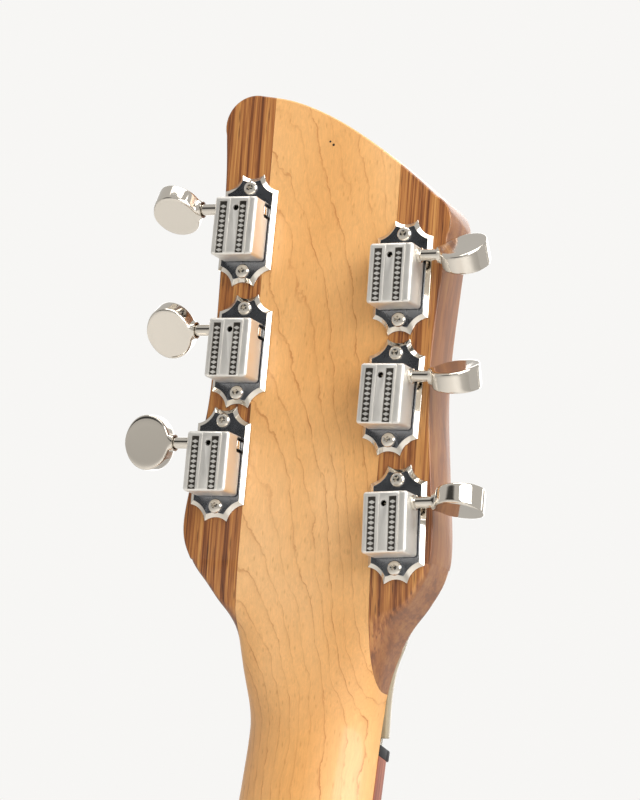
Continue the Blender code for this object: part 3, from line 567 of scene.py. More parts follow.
def postDrills():
    postY = tuner["postY"]
    return joinedMesh([moved(rodMesh((u, v + postY, -30), (u, v + postY, -6), 4.3), headFrame)
                       for name, hand, (u, v), turn, buttonTurn in tunerPlaces])


tuner = {
    "plateHalf": 9.1, "shoulder": 12.8, "cusp": (3.8, 18.25), "plateThickness": 1.85,
    "screwOffset": 13.4, "coverSize": (14.35, 18.7), "coverCentre": -1.0, "coverTop": 11.6,
    "coverBase": 2.45, "wall": 0.9, "shaftY": 5.4, "shaftZ": 6.3, "shaftRadius": 1.8, "postY": -1.0,
    "buttonStart": 13.6, "buttonWidth": 15.6, "buttonHeight": 18.0, "buttonThickness": 7.4,
}
# name, hand, (u, v) of the middle between its screws, turn of the plate, turn of its button
tunerPlaces = (
    ("treble_far", -1, (-27.8, 8.2), -0.97, -62.0),
    ("treble_mid", -1, (-26.3, -30.55), -0.68, -38.0),
    ("treble_near", -1, (-30.35, -66.2), -0.44, -8.0),
    ("bass_far", 1, (25.9, -8.15), 0.41, -50.0),
    ("bass_mid", 1, (25.8, -45.4), -0.83, -62.0),
    ("bass_near", 1, (30.15, -84.4), 2.41, 82.0),
)

drills = postDrills()
inner = headstock["coreHalf"] + 0.01
for side, name in ((-1, "headstock_wing_treble"), (1, "headstock_wing_bass")):
    block = headBlock(*((inner, 60) if side > 0 else (-60, -inner)))
    wing = combined(combined(neckWood.copy(), block, "INTERSECT"), drills.copy())
    addPiece(wing, "walnutWing" + ("Bass" if side > 0 else "Treble"), headWalnut, (name,))

outer = headstock["coreHalf"] - 0.01
rodChannel = boxMesh((-3.3, -6, -440), (3.3, 8.4, 22))
coreMesh = carved(neckWood, (headBlock(outer, 70), headBlock(-70, -outer), rodChannel, drills))

# body
body = {"front": 0.2, "back": 40.0, "end": -808.0, "coreHalf": 30.0, "edgeRound": 6.0}
bassOutline = smoothPath((
    (-30.3, -396), (-50, -385), (-64, -352), (-92, -338), (-124, -362), (-146, -412), (-148, -465),
    (-136, -525), (-130, -575), (-142, -640), (-162, -705), (-150, -765), (-95, -802), (-30.3, -808)), 9)
trebleOutline = smoothPath((
    (30.3, -402), (50, -400), (66, -372), (96, -362), (128, -395), (143, -440), (140, -490),
    (130, -540), (130, -595), (148, -655), (162, -712), (148, -768), (95, -802), (30.3, -808)), 9)
controls = {
    "volume": (64.0, -664.0), "tone": (98.0, -702.0), "selector": (100.0, -640.0), "jack": (112.0, -757.0),
    "cavityX": (44.0, 122.0), "cavityZ": (-728.0, -614.0), "cavityFloor": 8.0, "lip": 4.0, "lid": 2.3,
}
wholeBody = slabMesh(bassOutline + trebleOutline[::-1], -body["back"], -body["front"])
wholeBody = bevelled(wholeBody, body["edgeRound"], 7, 60.0)
wholeBody.transform(at(0, 0, 0, 90, "X"))
coreHalf = body["coreHalf"]
bodyCore = combined(wholeBody.copy(), boxMesh((-coreHalf, -5, -820), (coreHalf, 50, -330)), "INTERSECT")
coreMesh = combined(coreMesh, bodyCore, "UNION")
addPiece(coreMesh, "mapleCore", maple, ("neck_core",))

bassWing = combined(wholeBody.copy(), boxMesh((-200, -5, -820), (-coreHalf - 0.02, 50, -300)), "INTERSECT")
addPiece(bassWing, "walnutBodyBass", walnut, ("body_wing_bass",))
trebleWing = combined(wholeBody, boxMesh((coreHalf + 0.02, -5, -820), (200, 50, -300)), "INTERSECT")
(lowX, highX), (lowZ, highZ) = controls["cavityX"], controls["cavityZ"]
lip = controls["lip"]
lidSeat = body["back"] - controls["lid"] - 0.3
holes = [boxMesh((lowX, controls["cavityFloor"], lowZ), (highX, 50, highZ)),
         boxMesh((lowX - lip, lidSeat, lowZ - lip), (highX + lip, 50, highZ + lip))]
for key, radius, depth in (("volume", 4.9, 12), ("tone", 4.9, 12), ("selector", 5.9, 12), ("jack", 7.0, 30)):
    x, z = controls[key]
    holes.append(rodMesh((x, -5, z), (x, depth, z), radius))
addPiece(carved(trebleWing, holes), "walnutBodyTreble", walnut, ("body_wing_treble",))
# (u, v) and radius of two filled pin holes
pinHoles = (((-2.33, 36.33), 0.36), ((-1.15, 35.24), 0.42))
pins = [moved(latheMesh([(0, 0.03), (radius, 0.0), (radius, -0.6), (0, -0.6)], 16), headFrame @ at(*spot, 0))
        for spot, radius in pinHoles]
addPiece(joinedMesh(pins), "pinHoles", blackNut)

print("wood built")


# tuners: x out to the button, y up the headstock, z off the wood
tunerLook = {
    "rimBevel": 1.3,         # mm, bright slope round the plate
    "screwDome": 4.6,        # mm, screw head diameter
    "screwRise": 1.1,
    "stripDepth": 0.4,
    "strips": ((0.12, 0.30), (0.59, 0.765)),   # share of the cover's width
    "barPitch": 1.55,        # mm between the plain lozenges in a strip
    "coverRound": 1.0,
    "ridge": 0.83,           # share of the width where a groove runs down the top
    "centreLine": 0.38,
}


def circlesMeet(one, oneRadius, other, otherRadius, near):
    gap = Vector(other) - Vector(one)
    along = (gap.length_squared + oneRadius ** 2 - otherRadius ** 2) / (2 * gap.length)
    rise = math.sqrt(max(0.0, oneRadius ** 2 - along ** 2))
    base = Vector(one) + gap.normalized() * along
    cross = Vector((-gap.y, gap.x)).normalized() * rise
    return min((base + cross, base - cross), key=lambda p: (p - Vector(near)).length)


def plateOutline(inset):
    # outline drawn in by `inset` all round, the same number of points whatever the inset
    half, shoulder, cusp = tuner["plateHalf"], tuner["shoulder"], tuner["cusp"]
    scallop = arcOf((half, shoulder), cusp, 1.3)
    dip = arcOf(cusp, (-cusp[0], cusp[1]), 1.5)
    side = half - inset
    reach = scallop[1] + inset
    drop = math.sqrt(reach ** 2 - (scallop[0][0] - side) ** 2)
    start = Vector((side, scallop[0][1] - drop))
    tip = circlesMeet(scallop[0], reach, dip[0], dip[1] + inset, cusp)
    upper = arcBetween(scallop[0], reach, start, tip, 16)[:-1]
    middle = arcBetween(dip[0], dip[1] + inset, tip, (-tip.x, tip.y), 16)[1:-1]
    blunt = [tuple(0.5 * tip[i] + 0.25 * (upper[-1][i] + middle[0][i]) for i in (0, 1))]
    upper = upper[:-1] + blunt
    top = upper + middle[1:-1] + [(-x, y) for x, y in reversed(upper)]
    return top + [(-x, -y) for x, y in top]


def plateMesh():
    thickness, rim = tuner["plateThickness"], tunerLook["rimBevel"]
    levels = ((0.0, 0.02), (0.0, thickness - rim * 0.8 - 0.05), (0.06, thickness - rim * 0.8 + 0.04),
              (rim - 0.05, thickness - 0.03), (rim + 0.06, thickness))
    mesh = loftMesh([[(x, y, z) for x, y in plateOutline(inset)] for inset, z in levels], 14)
    mesh = combined(mesh, rodMesh((0, tuner["postY"], -2), (0, tuner["postY"], 5), 3.4), smoothAngle=14)
    for face in mesh.polygons:
        # the top flat takes the second material, whose darker grey is painted reflection and shade
        face.material_index = int(face.normal.z > 0.99 and face.center.z > (thickness - 0.02) * mm)
    return mesh


def stripEnds(hand):
    # the strips run the same way on both hands, so a mirrored cover has them swapped
    sizeX = tuner["coverSize"][0]
    return [sorted(hand * (share - 0.5) * sizeX for share in pair) for pair in tunerLook["strips"]]


def coverSides():
    # lower and upper end of the cover, along the headstock
    return [tuner["coverCentre"] + side * tuner["coverSize"][1] / 2 for side in (-1, 1)]


def coverMesh(hand):
    halfX, top, base, wall = tuner["coverSize"][0] / 2, tuner["coverTop"], tuner["coverBase"], tuner["wall"]
    (low, high), y, z = coverSides(), tuner["shaftY"], tuner["shaftZ"]
    shell = bevelled(boxMesh((-halfX, low, base - 4), (halfX, high, top)), tunerLook["coverRound"], 5)
    tools = []
    for key, half, depth in (("ridge", 0.28, 0.35), ("centreLine", 0.12, 0.12)):
        x = hand * (tunerLook[key] - 0.5) * 2 * halfX
        tools.append(boxMesh((x - half, low - 1, top - depth), (x + half, high + 1, top + 2)))
    tools += [boxMesh((-halfX + wall, low + wall, base - 8), (halfX - wall, high - wall, top - wall)),
              boxMesh((-20, -20, -12), (20, 20, base)),
              rodMesh((2, y, z), (12, y, z), 2.25),
              boxMesh((4, y - 1.5, 0), (12, y + 1.5, z)),
              rodMesh((-0.3, 4.6, top - 4), (-0.3, 4.6, top + 4), 0.95, 24),
              bevelled(boxMesh((-12, y - 2.4, -3), (-4, y + 2.4, 5.6)), 0.9, 4)]
    tools += [boxMesh((left, low + 0.55, top - tunerLook["stripDepth"]), (right, high - 1.6, top + 2))
              for left, right in stripEnds(hand)]
    return bevelled(carved(shell, tools), 0.09, 2, 40)


def stripMesh(hand):
    # raised lozenges in the two recesses of the cover's top
    bars, floor, pitch = [], tuner["coverTop"] - tunerLook["stripDepth"], tunerLook["barPitch"]
    low, high = coverSides()
    for left, right in stripEnds(hand):
        spot, half = low + 1.45, pitch * 0.38
        while spot < high - 2.5:
            near, centre, far = left + 0.35, (left + right) / 2, right - 0.35
            lozenge = ((near, spot - 0.1), (centre, spot - half), (far, spot - 0.1),
                       (far, spot + 0.1), (centre, spot + half), (near, spot + 0.1))
            bars.append(slabMesh(lozenge, floor - 0.1, floor + 0.3))
            spot += pitch
    return joinedMesh(bars)


def stripFloorMesh(hand):
    floor, (low, high) = tuner["coverTop"] - tunerLook["stripDepth"], coverSides()
    low, high, foot, face = low + 0.57, high - 1.62, floor - 0.3, floor + 0.02
    return joinedMesh([boxMesh((left + 0.02, low, foot), (right - 0.02, high, face))
                       for left, right in stripEnds(hand)])


def screwMesh(diameter, rise, sink):
    # dome head with a cross recess, on a shank; z is out of the surface, 0 the surface
    half = diameter / 2
    profile = [(0.0, rise)]
    for step in range(1, 9):
        angle = step / 8 * math.pi / 2
        profile.append((half * math.sin(angle) ** 0.9, rise * math.cos(angle) ** 0.8 + 0.06))
    profile += [(half, -0.05), (half * 0.5, -0.25), (half * 0.42, -sink), (0, -sink)]
    arm, width = half * 0.42, half * 0.13
    return carved(latheMesh(profile, 40), (
        boxMesh((-arm, -width, rise * 0.30), (arm, width, rise + 1)),
        boxMesh((-width, -arm, rise * 0.30), (width, arm, rise + 1)),
        rodMesh((0, 0, rise * 0.05), (0, 0, rise + 1), half * 0.24, 16)))


def shaftMesh():
    innerEnd = -tuner["coverSize"][0] / 2 + tuner["wall"] + 0.4
    outerEnd = tuner["buttonStart"] + 6.7
    radius, outside = tuner["shaftRadius"], tuner["coverSize"][0] / 2
    profile = [(0, outerEnd), (radius, outerEnd), (radius, outside + 1.05), (2.3, outside + 0.85),
               (2.3, outside + 0.05), (2.14, outside - 0.1), (radius, outside - 1.2), (radius, 3.6)]
    thread = [(2.0 if step % 2 else 1.45, 3.2 - step * 0.4) for step in range(17)]
    shaft = latheMesh(profile + thread + [(radius, -3.6), (radius, innerEnd), (0, innerEnd)], 40)
    shaft.transform(Matrix.Rotation(math.radians(90), 4, "Y"))
    return shaft


def buttonMesh():
    # loft along the shaft: a round nose that flares into a flat oval with hollow faces and crisp edges
    start, width = tuner["buttonStart"], tuner["buttonWidth"]
    halfHeight, count = tuner["buttonHeight"] / 2, 64
    rings, steps = [], 40
    for step in range(steps + 1):
        share = (1 - math.cos(math.pi * step / steps)) / 2   # closer together at both ends
        x = start + width * share
        centre = 0.56
        offset = (share - centre) / (1.002 - centre) if share > centre else (centre - share) / (centre - 0.07)
        oval = 0.96 * halfHeight * max(0.005, 1 - abs(offset) ** 2.05) ** 0.5
        flare = eased(share / 0.22)
        high = max(oval, 2.6) if share < centre else oval
        thick = 2.6 + (tuner["buttonThickness"] / 2 - 2.6) * min(1.0, share * 1.15)
        squareness = 2.0 + 7.0 * flare
        hollow = 0.09 * flare
        ring = []
        for i in range(count):
            angle = 2 * math.pi * (i + 0.5) / count
            cosine, sine = math.cos(angle), math.sin(angle)
            y = high * math.copysign(abs(cosine) ** (2 / squareness), cosine)
            depth = thick * math.copysign(abs(sine) ** (2 / squareness), sine)
            inward = 1 - hollow * max(0.0, 1 - (y / high) ** 2) * (1 - abs(2 * share - 1.1) ** 3)
            ring.append((x, y, depth * inward))
        rings.append(ring)
    last = rings[-1]
    for inset, push in ((0.94, 0.12), (0.8, 0.2)):
        rings.append([(start + width + push, y * inset, z * inset) for x, y, z in last])
    button = loftMesh(rings, 38)
    return combined(button, rodMesh((start - 2, 0, 0), (start + 7, 0, 0), 2.1), smoothAngle=38)


def tabMesh():
    # the plate's tab, bent up through the slot in the cover's inner wall
    wall, y = -tuner["coverSize"][0] / 2, tuner["shaftY"]
    return bevelled(boxMesh((wall + 0.12, y - 1.35, 1.7), (wall + 0.75, y + 1.35, 4.9)), 0.25, 3)


def postMesh():
    # capstan post: gear with cut teeth inside the cover, waist and cross hole at the string end
    low, high = tuner["shaftZ"] - 1.5, tuner["shaftZ"] + 1.5
    front = -headstock["thickness"]
    foot, waist = front - 7.5, front - 4.6
    profile = [(0, high + 1.4), (2.2, high + 1.4), (2.2, high), (4.0, high), (4.0, low), (3.0, low),
               (3.0, waist + 2.2)]
    for step in range(1, 12):
        share = step / 12
        profile.append((3.0 - 0.5 * math.sin(math.pi * share), waist + 2.2 - 4.0 * share))
    profile += [(3.0, waist - 1.8), (3.0, foot + 0.5), (2.5, foot), (0, foot)]

    def teeth(angle, radius, height):
        return radius * (1 - 0.10 * (math.cos(15 * angle) > 0)) if radius > 3.9 else radius
    post = latheMesh(profile, 90, ripple=teeth)
    slot = rodMesh((-5, 0, waist + 0.2), (5, 0, waist + 0.2), 0.75, 20)
    return combined(post, slot)


def bushingMesh():
    # threaded bushing round the post on the headstock's front, with a hexagon and a washer
    front = -headstock["thickness"]
    washer = latheMesh([(3.35, front + 3), (4.25, front + 3), (4.25, front - 0.05), (7.0, front - 0.05),
                        (7.0, front - 0.5), (6.7, front - 0.8), (3.35, front - 0.8)], 48, closed=True)
    hexagon = latheMesh([(3.3, front - 0.8), (5.6, front - 0.8), (5.6, front - 2.1), (5.1, front - 2.6),
                         (3.3, front - 2.6)], 6, closed=True)
    bore = rodMesh((0, 0, front - 4), (0, 0, front + 4), 3.3, 48)
    return joinedMesh([combined(washer, bore.copy()), combined(hexagon, bore)])


coverMasters = {hand: {"cover": coverMesh(hand), "strip": stripMesh(hand), "stripFloor": stripFloorMesh(hand)}
                for hand in (1, -1)}
tunerMasters = {
    "plate": plateMesh(), "tab": tabMesh(),
    "screw": screwMesh(tunerLook["screwDome"], tunerLook["screwRise"], 6.0),
    "shaft": shaftMesh(), "button": buttonMesh(), "post": postMesh(), "bushing": bushingMesh(),
}
print("tuner masters built")

for name, hand, (u, v), turn, buttonTurn in tunerPlaces:
    label = "".join(word.capitalize() for word in name.split("_"))
    frameOfTuner = headFrame @ at(u, v, 0, turn)
    handed = Matrix.Diagonal((hand, 1, 1, 1))
    flush, around = at(0, 0, 0), at(0, tuner["postY"], 0)
    spun = at(0, tuner["shaftY"], tuner["shaftZ"], buttonTurn * hand, "X")

    def tunerPiece(key, title, local, material, replaced="", ridden="guitar"):
        mesh = moved((tunerMasters | coverMasters[hand])[key], frameOfTuner @ local @ handed)
        addPiece(mesh, title + label, material, (replaced + name,) if replaced else (), ridden)

    # the plate's flat takes the darker nickel, painted reflection and shade
    tunerPiece("plate", "tunerPlate", flush, (nickel, paintedReflectionNickel), "base_plate_")
    tunerPiece("tab", "plateTab", flush, nickel)
    tunerPiece("cover", "tunerCover", flush, brushedNickel, "gear_cover_")
    tunerPiece("strip", "tunerLozenges", flush, brushedNickel)
    tunerPiece("stripFloor", "tunerRecess", flush, darkNickel)
    for end, way in ((1, "Upper"), (-1, "Lower")):
        spin = random.uniform(-40, 40)
        spot = at(0, end * tuner["screwOffset"], tuner["plateThickness"], spin)
        tunerPiece("screw", "plateScrew" + way, spot, nickel)
    tunerPiece("bushing", "postBushing", around, nickel)
    tunerPiece("shaft", "wormShaft", spun, nickel, "worm_shaft_", "button_" + name)
    tunerPiece("button", "tunerButton", spun, nickel, "button_", "button_" + name)
    tunerPiece("post", "stringPost", around, nickel, "string_post_", "post_" + name)
print("tuners placed")


# fingerboard, frets, markers, nut
board = {"scale": 628.0, "frets": 22, "thickness": 6.5, "nutHalf": 21.5, "endHalf": 28.3, "end": -458.0,
         "crown": 0.35, "fretHeight": 1.3, "fretHalf": 1.2, "slotDepth": 1.6}


def fretZ(number):
    return -board["scale"] * (1 - 2 ** (-number / 12))


def boardHalf(z):
    return board["nutHalf"] + (board["endHalf"] - board["nutHalf"]) * z / board["end"]


def boardRing(z, inset=0.0):
    # nearly flat board with a slightly crowned front and softened edges
    half, back, face = boardHalf(z), -0.02 - inset, -0.3 - board["thickness"] + inset
    half -= inset
    ring = [(half, back, z), (half, face + 0.7, z), (half - 0.2, face + 0.25, z)]
    for step in range(13):
        across = 1 - 2 * step / 12
        ring.append((across * (half - 0.55), face - 0.02 + board["crown"] * across * across * 0.5, z))
    return ring + [(-half + 0.2, face + 0.25, z), (-half, face + 0.7, z), (-half, back, z)]


boardMesh = loftMesh([boardRing(-0.1), boardRing(board["end"] + 0.4), boardRing(board["end"], 0.4)], 25)
addPiece(boardMesh, "fingerboardBlank", rosewood, ("fingerboard",))
fretBars = []
for number in range(1, board["frets"] + 1):
    z = fretZ(number)
    reach, face = boardHalf(z) - 0.15, -0.3 - board["thickness"]
    section = [(board["fretHalf"] * math.cos(a), board["fretHeight"] * math.sin(a) ** 0.8)
               for a in (math.pi * i / 10 for i in range(11))]
    rings = []
    for along, size in ((-reach, 0.3), (-reach + 0.35, 0.8), (-reach + 1.1, 1.0), (reach - 1.1, 1.0),
                        (reach - 0.35, 0.8), (reach, 0.3)):
        rings.append([(along, face + 0.25 - rise * size, z + side) for side, rise in section])
    fretBars.append(loftMesh(rings, 30))
    fretBars.append(boxMesh((-reach, face, z - 0.28), (reach, face + board["slotDepth"], z + 0.28)))
addPiece(joinedMesh(fretBars), "fretWires", nickel)
dots, sideDots = [], []
for number in (3, 5, 7, 9, 12, 15, 17, 19, 21):
    z = (fretZ(number) + fretZ(number - 1)) / 2
    half = boardHalf(z)
    for across in ((-9, 9) if number == 12 else (0,)):
        dots.append(rodMesh((across, -6.5, z), (across, -6.865, z), 3.1, 40))
        side = z + across / 3
        sideDots.append(rodMesh((-half + 1, -4.2, side), (-half - 0.03, -4.2, side), 1.0, 24))
addPiece(joinedMesh(dots), "fretMarkers", pearl)
addPiece(joinedMesh(sideDots), "sideMarkers", pearl)

# at the nut, at the bridge, radius, its tuner
strings = (
    (17.5, 26.0, 0.30, "treble_near"), (10.5, 15.6, 0.30, "treble_mid"), (3.5, 5.2, 0.32, "treble_far"),
    (-3.5, -5.2, 0.40, "bass_far"), (-10.5, -15.6, 0.50, "bass_mid"), (-17.5, -26.0, 0.60, "bass_near"),
)
nutLook = {"height": 8.2, "thickness": 3.5, "half": 21.5}
nutHalf, nutFace, nutEnd = nutLook["half"], -nutLook["height"], nutLook["thickness"]
nutBlank = bevelled(boxMesh((-nutHalf, nutFace, 0.02), (nutHalf, -0.02, nutEnd)), 0.25, 2)
nutCrown = rodMesh((-30, nutFace + 3.0, nutEnd / 2), (30, nutFace + 3.0, nutEnd / 2), 3.0, 64)
nutShape = combined(nutBlank, boxMesh((-40, nutFace + 2.4, -5), (40, 5, 9)), "INTERSECT")
nutTop = bevelled(boxMesh((-nutHalf, nutFace, 0.02), (nutHalf, nutFace + 2.45, nutEnd)), 0.25, 2)
nutShape = combined(nutShape, combined(nutTop, nutCrown, "INTERSECT"), "UNION")
nutShape = carved(nutShape, [
    rodMesh((nutX, nutFace - radius + 0.12, -3), (nutX, nutFace - radius + 0.3, 8), radius + 0.12, 20)
    for nutX, bridgeX, radius, tunerName in strings])
addPiece(nutShape, "nutBlank", blackNut, ("nut",))

# truss-rod cover: cream acrylic plate on the headstock's foot, three dome screws; its y is 0 at the bend
coverLook = {"thickness": 3.5, "screws": ((0, -13.0), (17.0, -52.0), (-17.0, -52.0))}
coverSide = smoothPath(((22.0, -58.9), (22.3, -48), (23.0, -41.6), (24.2, -36), (26.6, -29.4), (27.4, -24.4),
                        (24.0, -16.5), (15.0, -9.5), (6.0, -5.6), (0, -4.9)), 7)
coverOutline = coverSide + [(-x, y) for x, y in reversed(coverSide[:-1])]
footFrame = headFrame @ at(0, headstock["footTop"], -headstock["thickness"],
                           headstock["footTilt"] - headstock["tilt"], "X")
plate = bevelled(slabMesh(coverOutline, -0.3 - coverLook["thickness"], -0.3), 0.45, 3)
addPiece(moved(plate, footFrame), "trussRodCover", creamPlastic, ("truss_rod_cover",))
plateScrews = [moved(screwMesh(3.6, 0.7, 4.5), footFrame @ at(u, v, -0.3 - coverLook["thickness"], 180, "X"))
               for u, v in coverLook["screws"]]
addPiece(joinedMesh(plateScrews), "trussCoverScrews", nickel)
print("fingerboard, nut and truss cover built")


# strings
stringLook = {"turns": 4, "tubeSides": 10}
bridge = {"z": -628.0, "saddleTop": -11.0, "tailZ": -668.0}
bridgeZ, tailZ = bridge["z"], bridge["tailZ"]


def tubeMesh(points, radius, sides):
    points = [Vector(p) for p in points]
    shape = bmesh.new()
    rows, side = [], None
    for i, point in enumerate(points):
        along = (points[min(i + 1, len(points) - 1)] - points[max(i - 1, 0)]).normalized()
        side = (along.orthogonal() if side is None else side - along * side.dot(along)).normalized()
        other = along.cross(side)
        rows.append([shape.verts.new((point + radius * (side * math.cos(2 * math.pi * k / sides)
                                                        + other * math.sin(2 * math.pi * k / sides))) * mm)
                     for k in range(sides)])
    return stitched(shape, rows, 50)


for order, (nutX, bridgeX, radius, tunerName) in enumerate(strings, 1):
    u, v = next(spot for name, hand, spot, turn, buttonTurn in tunerPlaces if name == tunerName)
    v += tuner["postY"]
    inner = -1 if u > 0 else 1
    depth = -headstock["thickness"] - 4.6
    reach = 2.55 + radius
    # the wraps start where the string meets the post and climb towards the wood
    wraps = []
    for step in range(int(stringLook["turns"] * 24) + 1):
        angle = 2 * math.pi * step / 24
        wraps.append(headPoint(u + inner * reach * math.cos(angle), v + reach * math.sin(angle),
                               depth + 0.2 + angle / (2 * math.pi) * (2 * radius + 0.06)))
    nutY = nutFace - 0.05 - radius
    saddleY = bridge["saddleTop"] - 0.05 - radius
    route = wraps[::-1] + [(nutX, nutY, nutEnd + 0.5), (nutX, nutY - 0.1, 1.7), (nutX, nutY, -0.5),
                           (bridgeX, saddleY + 0.1, bridgeZ + 2.5), (bridgeX, saddleY - 0.1, bridgeZ),
                           (bridgeX, saddleY, bridgeZ - 3.5), (bridgeX, -7.5, tailZ + 10.3)]
    wire = windings if order > 3 else steel
    wireMesh = tubeMesh(route, radius, stringLook["tubeSides"])
    addPiece(wireMesh, f"string{order}", wire, (f"string_{order}",))
print("strings built")


# body hardware, front face -Y
def onFace(x, z, depth=0.0):
    # local z points out of the front
    return at(x, depth, z, 90, "X")


knobLook = {"flutes": 24, "fluteDepth": 0.035}
potFloor = -controls["cavityFloor"] - 0.3


def knobFlutes(angle, radius, height):
    if radius <= 9 or not 3.4 < height < 15.9:
        return radius
    return radius * (1 - knobLook["fluteDepth"] * (math.cos(knobLook["flutes"] * angle) > 0.2))


for control in ("volume", "tone"):
    x, z = controls[control]
    skirt = [(0, 17), (7.9, 17), (8.5, 16.85), (9.2, 16.4), (9.6, 15.8)]
    skirt += [(9.6 + step / 8, 15.8 - 12.4 * step / 8) for step in range(1, 9)]
    skirt += [(11.3, 3.1), (11.4, 2.6), (11.4, 1.2), (11.1, 0.9), (8, 0.9), (8, 4.0), (3.0, 4.0),
              (3.0, potFloor - 10), (0, potFloor - 10)]
    knob = latheMesh(skirt, 144, ripple=knobFlutes)
    place, ridden = onFace(x, z), control + "_control"
    addPiece(moved(knob, place), control + "Knob", blackPlastic,
             (control + "_knob",), ridden)
    pointer = bevelled(boxMesh((-0.45, 3.0, 16.9), (0.45, 8.3, 17.12)), 0.06, 2)
    addPiece(moved(pointer, place), control + "Pointer", creamPlastic, body=ridden)
    can = latheMesh([(4.5, 2.4), (4.5, potFloor), (11.4, potFloor), (12, potFloor - 0.6),
                     (12, potFloor - 8.4), (11.4, potFloor - 9), (3.4, potFloor - 9), (3.4, 2.4)],
                    64, closed=True)
    addPiece(moved(can, place), control + "Pot", steel, (control + "_pot",))
    ring = latheMesh([(3.6, 0.02), (7.6, 0.02), (7.6, 0.4), (7.4, 0.6), (3.6, 0.6)], 48, closed=True)
    addPiece(moved(ring, place), control + "Washer", nickel)

x, z = controls["selector"]
place = onFace(x, z)
can = latheMesh([(5.5, 2.4), (5.5, potFloor), (10, potFloor), (10, -24), (3.6, -24), (3.6, 2.4)],
                64, closed=True)
addPiece(moved(can, place), "selectorSwitch", steel, ("selector_switch",))


def collarFlutes(angle, radius, height):
    return radius * (1 - 0.03 * (math.cos(36 * angle) > 0)) if radius > 9 else radius


collar = latheMesh([(5.7, 0.02), (9.6, 0.02), (9.6, 0.5), (8.8, 1.3), (7.0, 2.0), (5.7, 2.1)],
                   72, closed=True, ripple=collarFlutes)
addPiece(moved(collar, place), "selectorCollar", nickel)
tip = [(3.6 * math.sin(a), 18.4 + 3.6 * math.cos(a)) for a in (math.pi * i / 16 for i in range(1, 12))]
leverStick = latheMesh([(0, 15), (1.5, 15), (1.5, -6), (0, -6)], 32)
leverTip = latheMesh([(0, 22)] + tip + [(1.6, 14.2), (0, 14.2)], 48)
addPiece(moved(leverTip, place), "selectorTip", creamPlastic,
         ("selector_lever",), "selector")
addPiece(moved(leverStick, place), "selectorStick", nickel, body="selector")

x, z = controls["jack"]
jack = latheMesh([(12, -0.02), (5.8, -0.02), (5.8, -22), (3.6, -22), (3.6, 4.2), (3.8, 4.4), (7.3, 4.4),
                  (7.6, 4.1), (7.6, 2.2), (10.8, 2.2), (11.6, 1.9), (12, 1.2)], 72, closed=True)
addPiece(moved(jack, onFace(x, z)), "outputJack", nickel, ("output_jack",))

guard = {
    "thickness": 2.6,
    "screws": ((56, -470), (104, -470), (115, -520), (104, -584), (72, -608), (52, -592)),
}
guardOutline = smoothPath((
    (46, -464), (74, -452), (112, -466), (124, -505), (114, -545), (112, -582), (98, -606), (72, -616),
    (52, -606), (46, -560), (45.5, -510)), 9)
guardMesh = slabMesh(guardOutline, 0.02, guard["thickness"])
addPiece(moved(bevelled(guardMesh, 0.6, 3), onFace(0, 0)), "pickguardPlate", creamPlastic,
         ("pickguard",))
smallScrew = screwMesh(4.2, 0.9, 8.0)
guardScrews = [moved(smallScrew, onFace(x, z, -guard["thickness"])) for x, z in guard["screws"]]
addPiece(joinedMesh(guardScrews), "pickguardScrews", nickel)


def frontBlock(sizeX, sizeZ, height, z, rounding, segments=5):
    block = boxMesh((-sizeX / 2, -height, z - sizeZ / 2), (sizeX / 2, -0.02, z + sizeZ / 2))
    return bevelled(block, rounding, segments)


pickup = {"neck": -488.0, "bridge": -590.0, "width": 68, "length": 36, "frameWidth": 82, "screwReach": 37.6}
for label in ("neck", "bridge"):
    z, length = pickup[label], pickup["length"]
    cover = frontBlock(pickup["width"], length, 7.5, z, 1.9)
    addPiece(cover, label + "PickupCover", nickel, (label + "_pickup",))
    window = boxMesh((-34.3, -9, z - 17.6), (34.3, 2, z + 17.6))
    ringBlock = combined(frontBlock(pickup["frameWidth"], length, 3.4, z, 1.2), window)
    addPiece(ringBlock, label + "PickupFrame", blackPlastic)
    poles = []
    for nutX, bridgeX, radius, tunerName in strings:
        spot = nutX + (bridgeX - nutX) * z / bridgeZ
        pole = latheMesh([(0, 7.9), (1.9, 7.9), (2.3, 7.6), (2.3, 6.5), (0, 6.5)], 32)
        pole = combined(pole, boxMesh((-3, -0.35, 7.45), (3, 0.35, 9)))
        poles.append(moved(pole, onFace(spot, z + 9) @ at(0, 0, 0, random.uniform(0, 180))))
    addPiece(joinedMesh(poles), label + "PolePieces", steel)
    ears = [moved(smallScrew, onFace(side * pickup["screwReach"], z, -3.4)) for side in (-1, 1)]
    addPiece(joinedMesh(ears), label + "PickupScrews", nickel)

bridgeBar = frontBlock(96, 14, 7.8, bridgeZ, 1.2)
saddleParts = []
ridge = [(-3, -7.0), (3, -7.0), (3, -9.2), (0.5, -11.0), (-0.5, -11.0), (-3, -9.2)]
for nutX, bridgeX, radius, tunerName in strings:
    shape = loftMesh([[(bridgeX + side, y, bridgeZ + a) for a, y in ridge] for side in (-3.6, 3.6)])
    saddleParts.append(bevelled(shape, 0.2, 2))
    saddleParts.append(rodMesh((bridgeX, -5.4, bridgeZ + 2), (bridgeX, -5.4, bridgeZ + 8.2), 1.5, 24))
addPiece(bridgeBar, "bridgeBar", nickel, ("bridge",))
addPiece(joinedMesh(saddleParts), "bridgeSaddles", brushedNickel)


def slottedPair(profile, slotLow, slotHigh, reach, z):
    # a slotted head either side of the centre
    head = combined(latheMesh(profile, 48), boxMesh(slotLow, slotHigh))
    return joinedMesh([moved(head, onFace(side * reach, z)) for side in (-1, 1)])


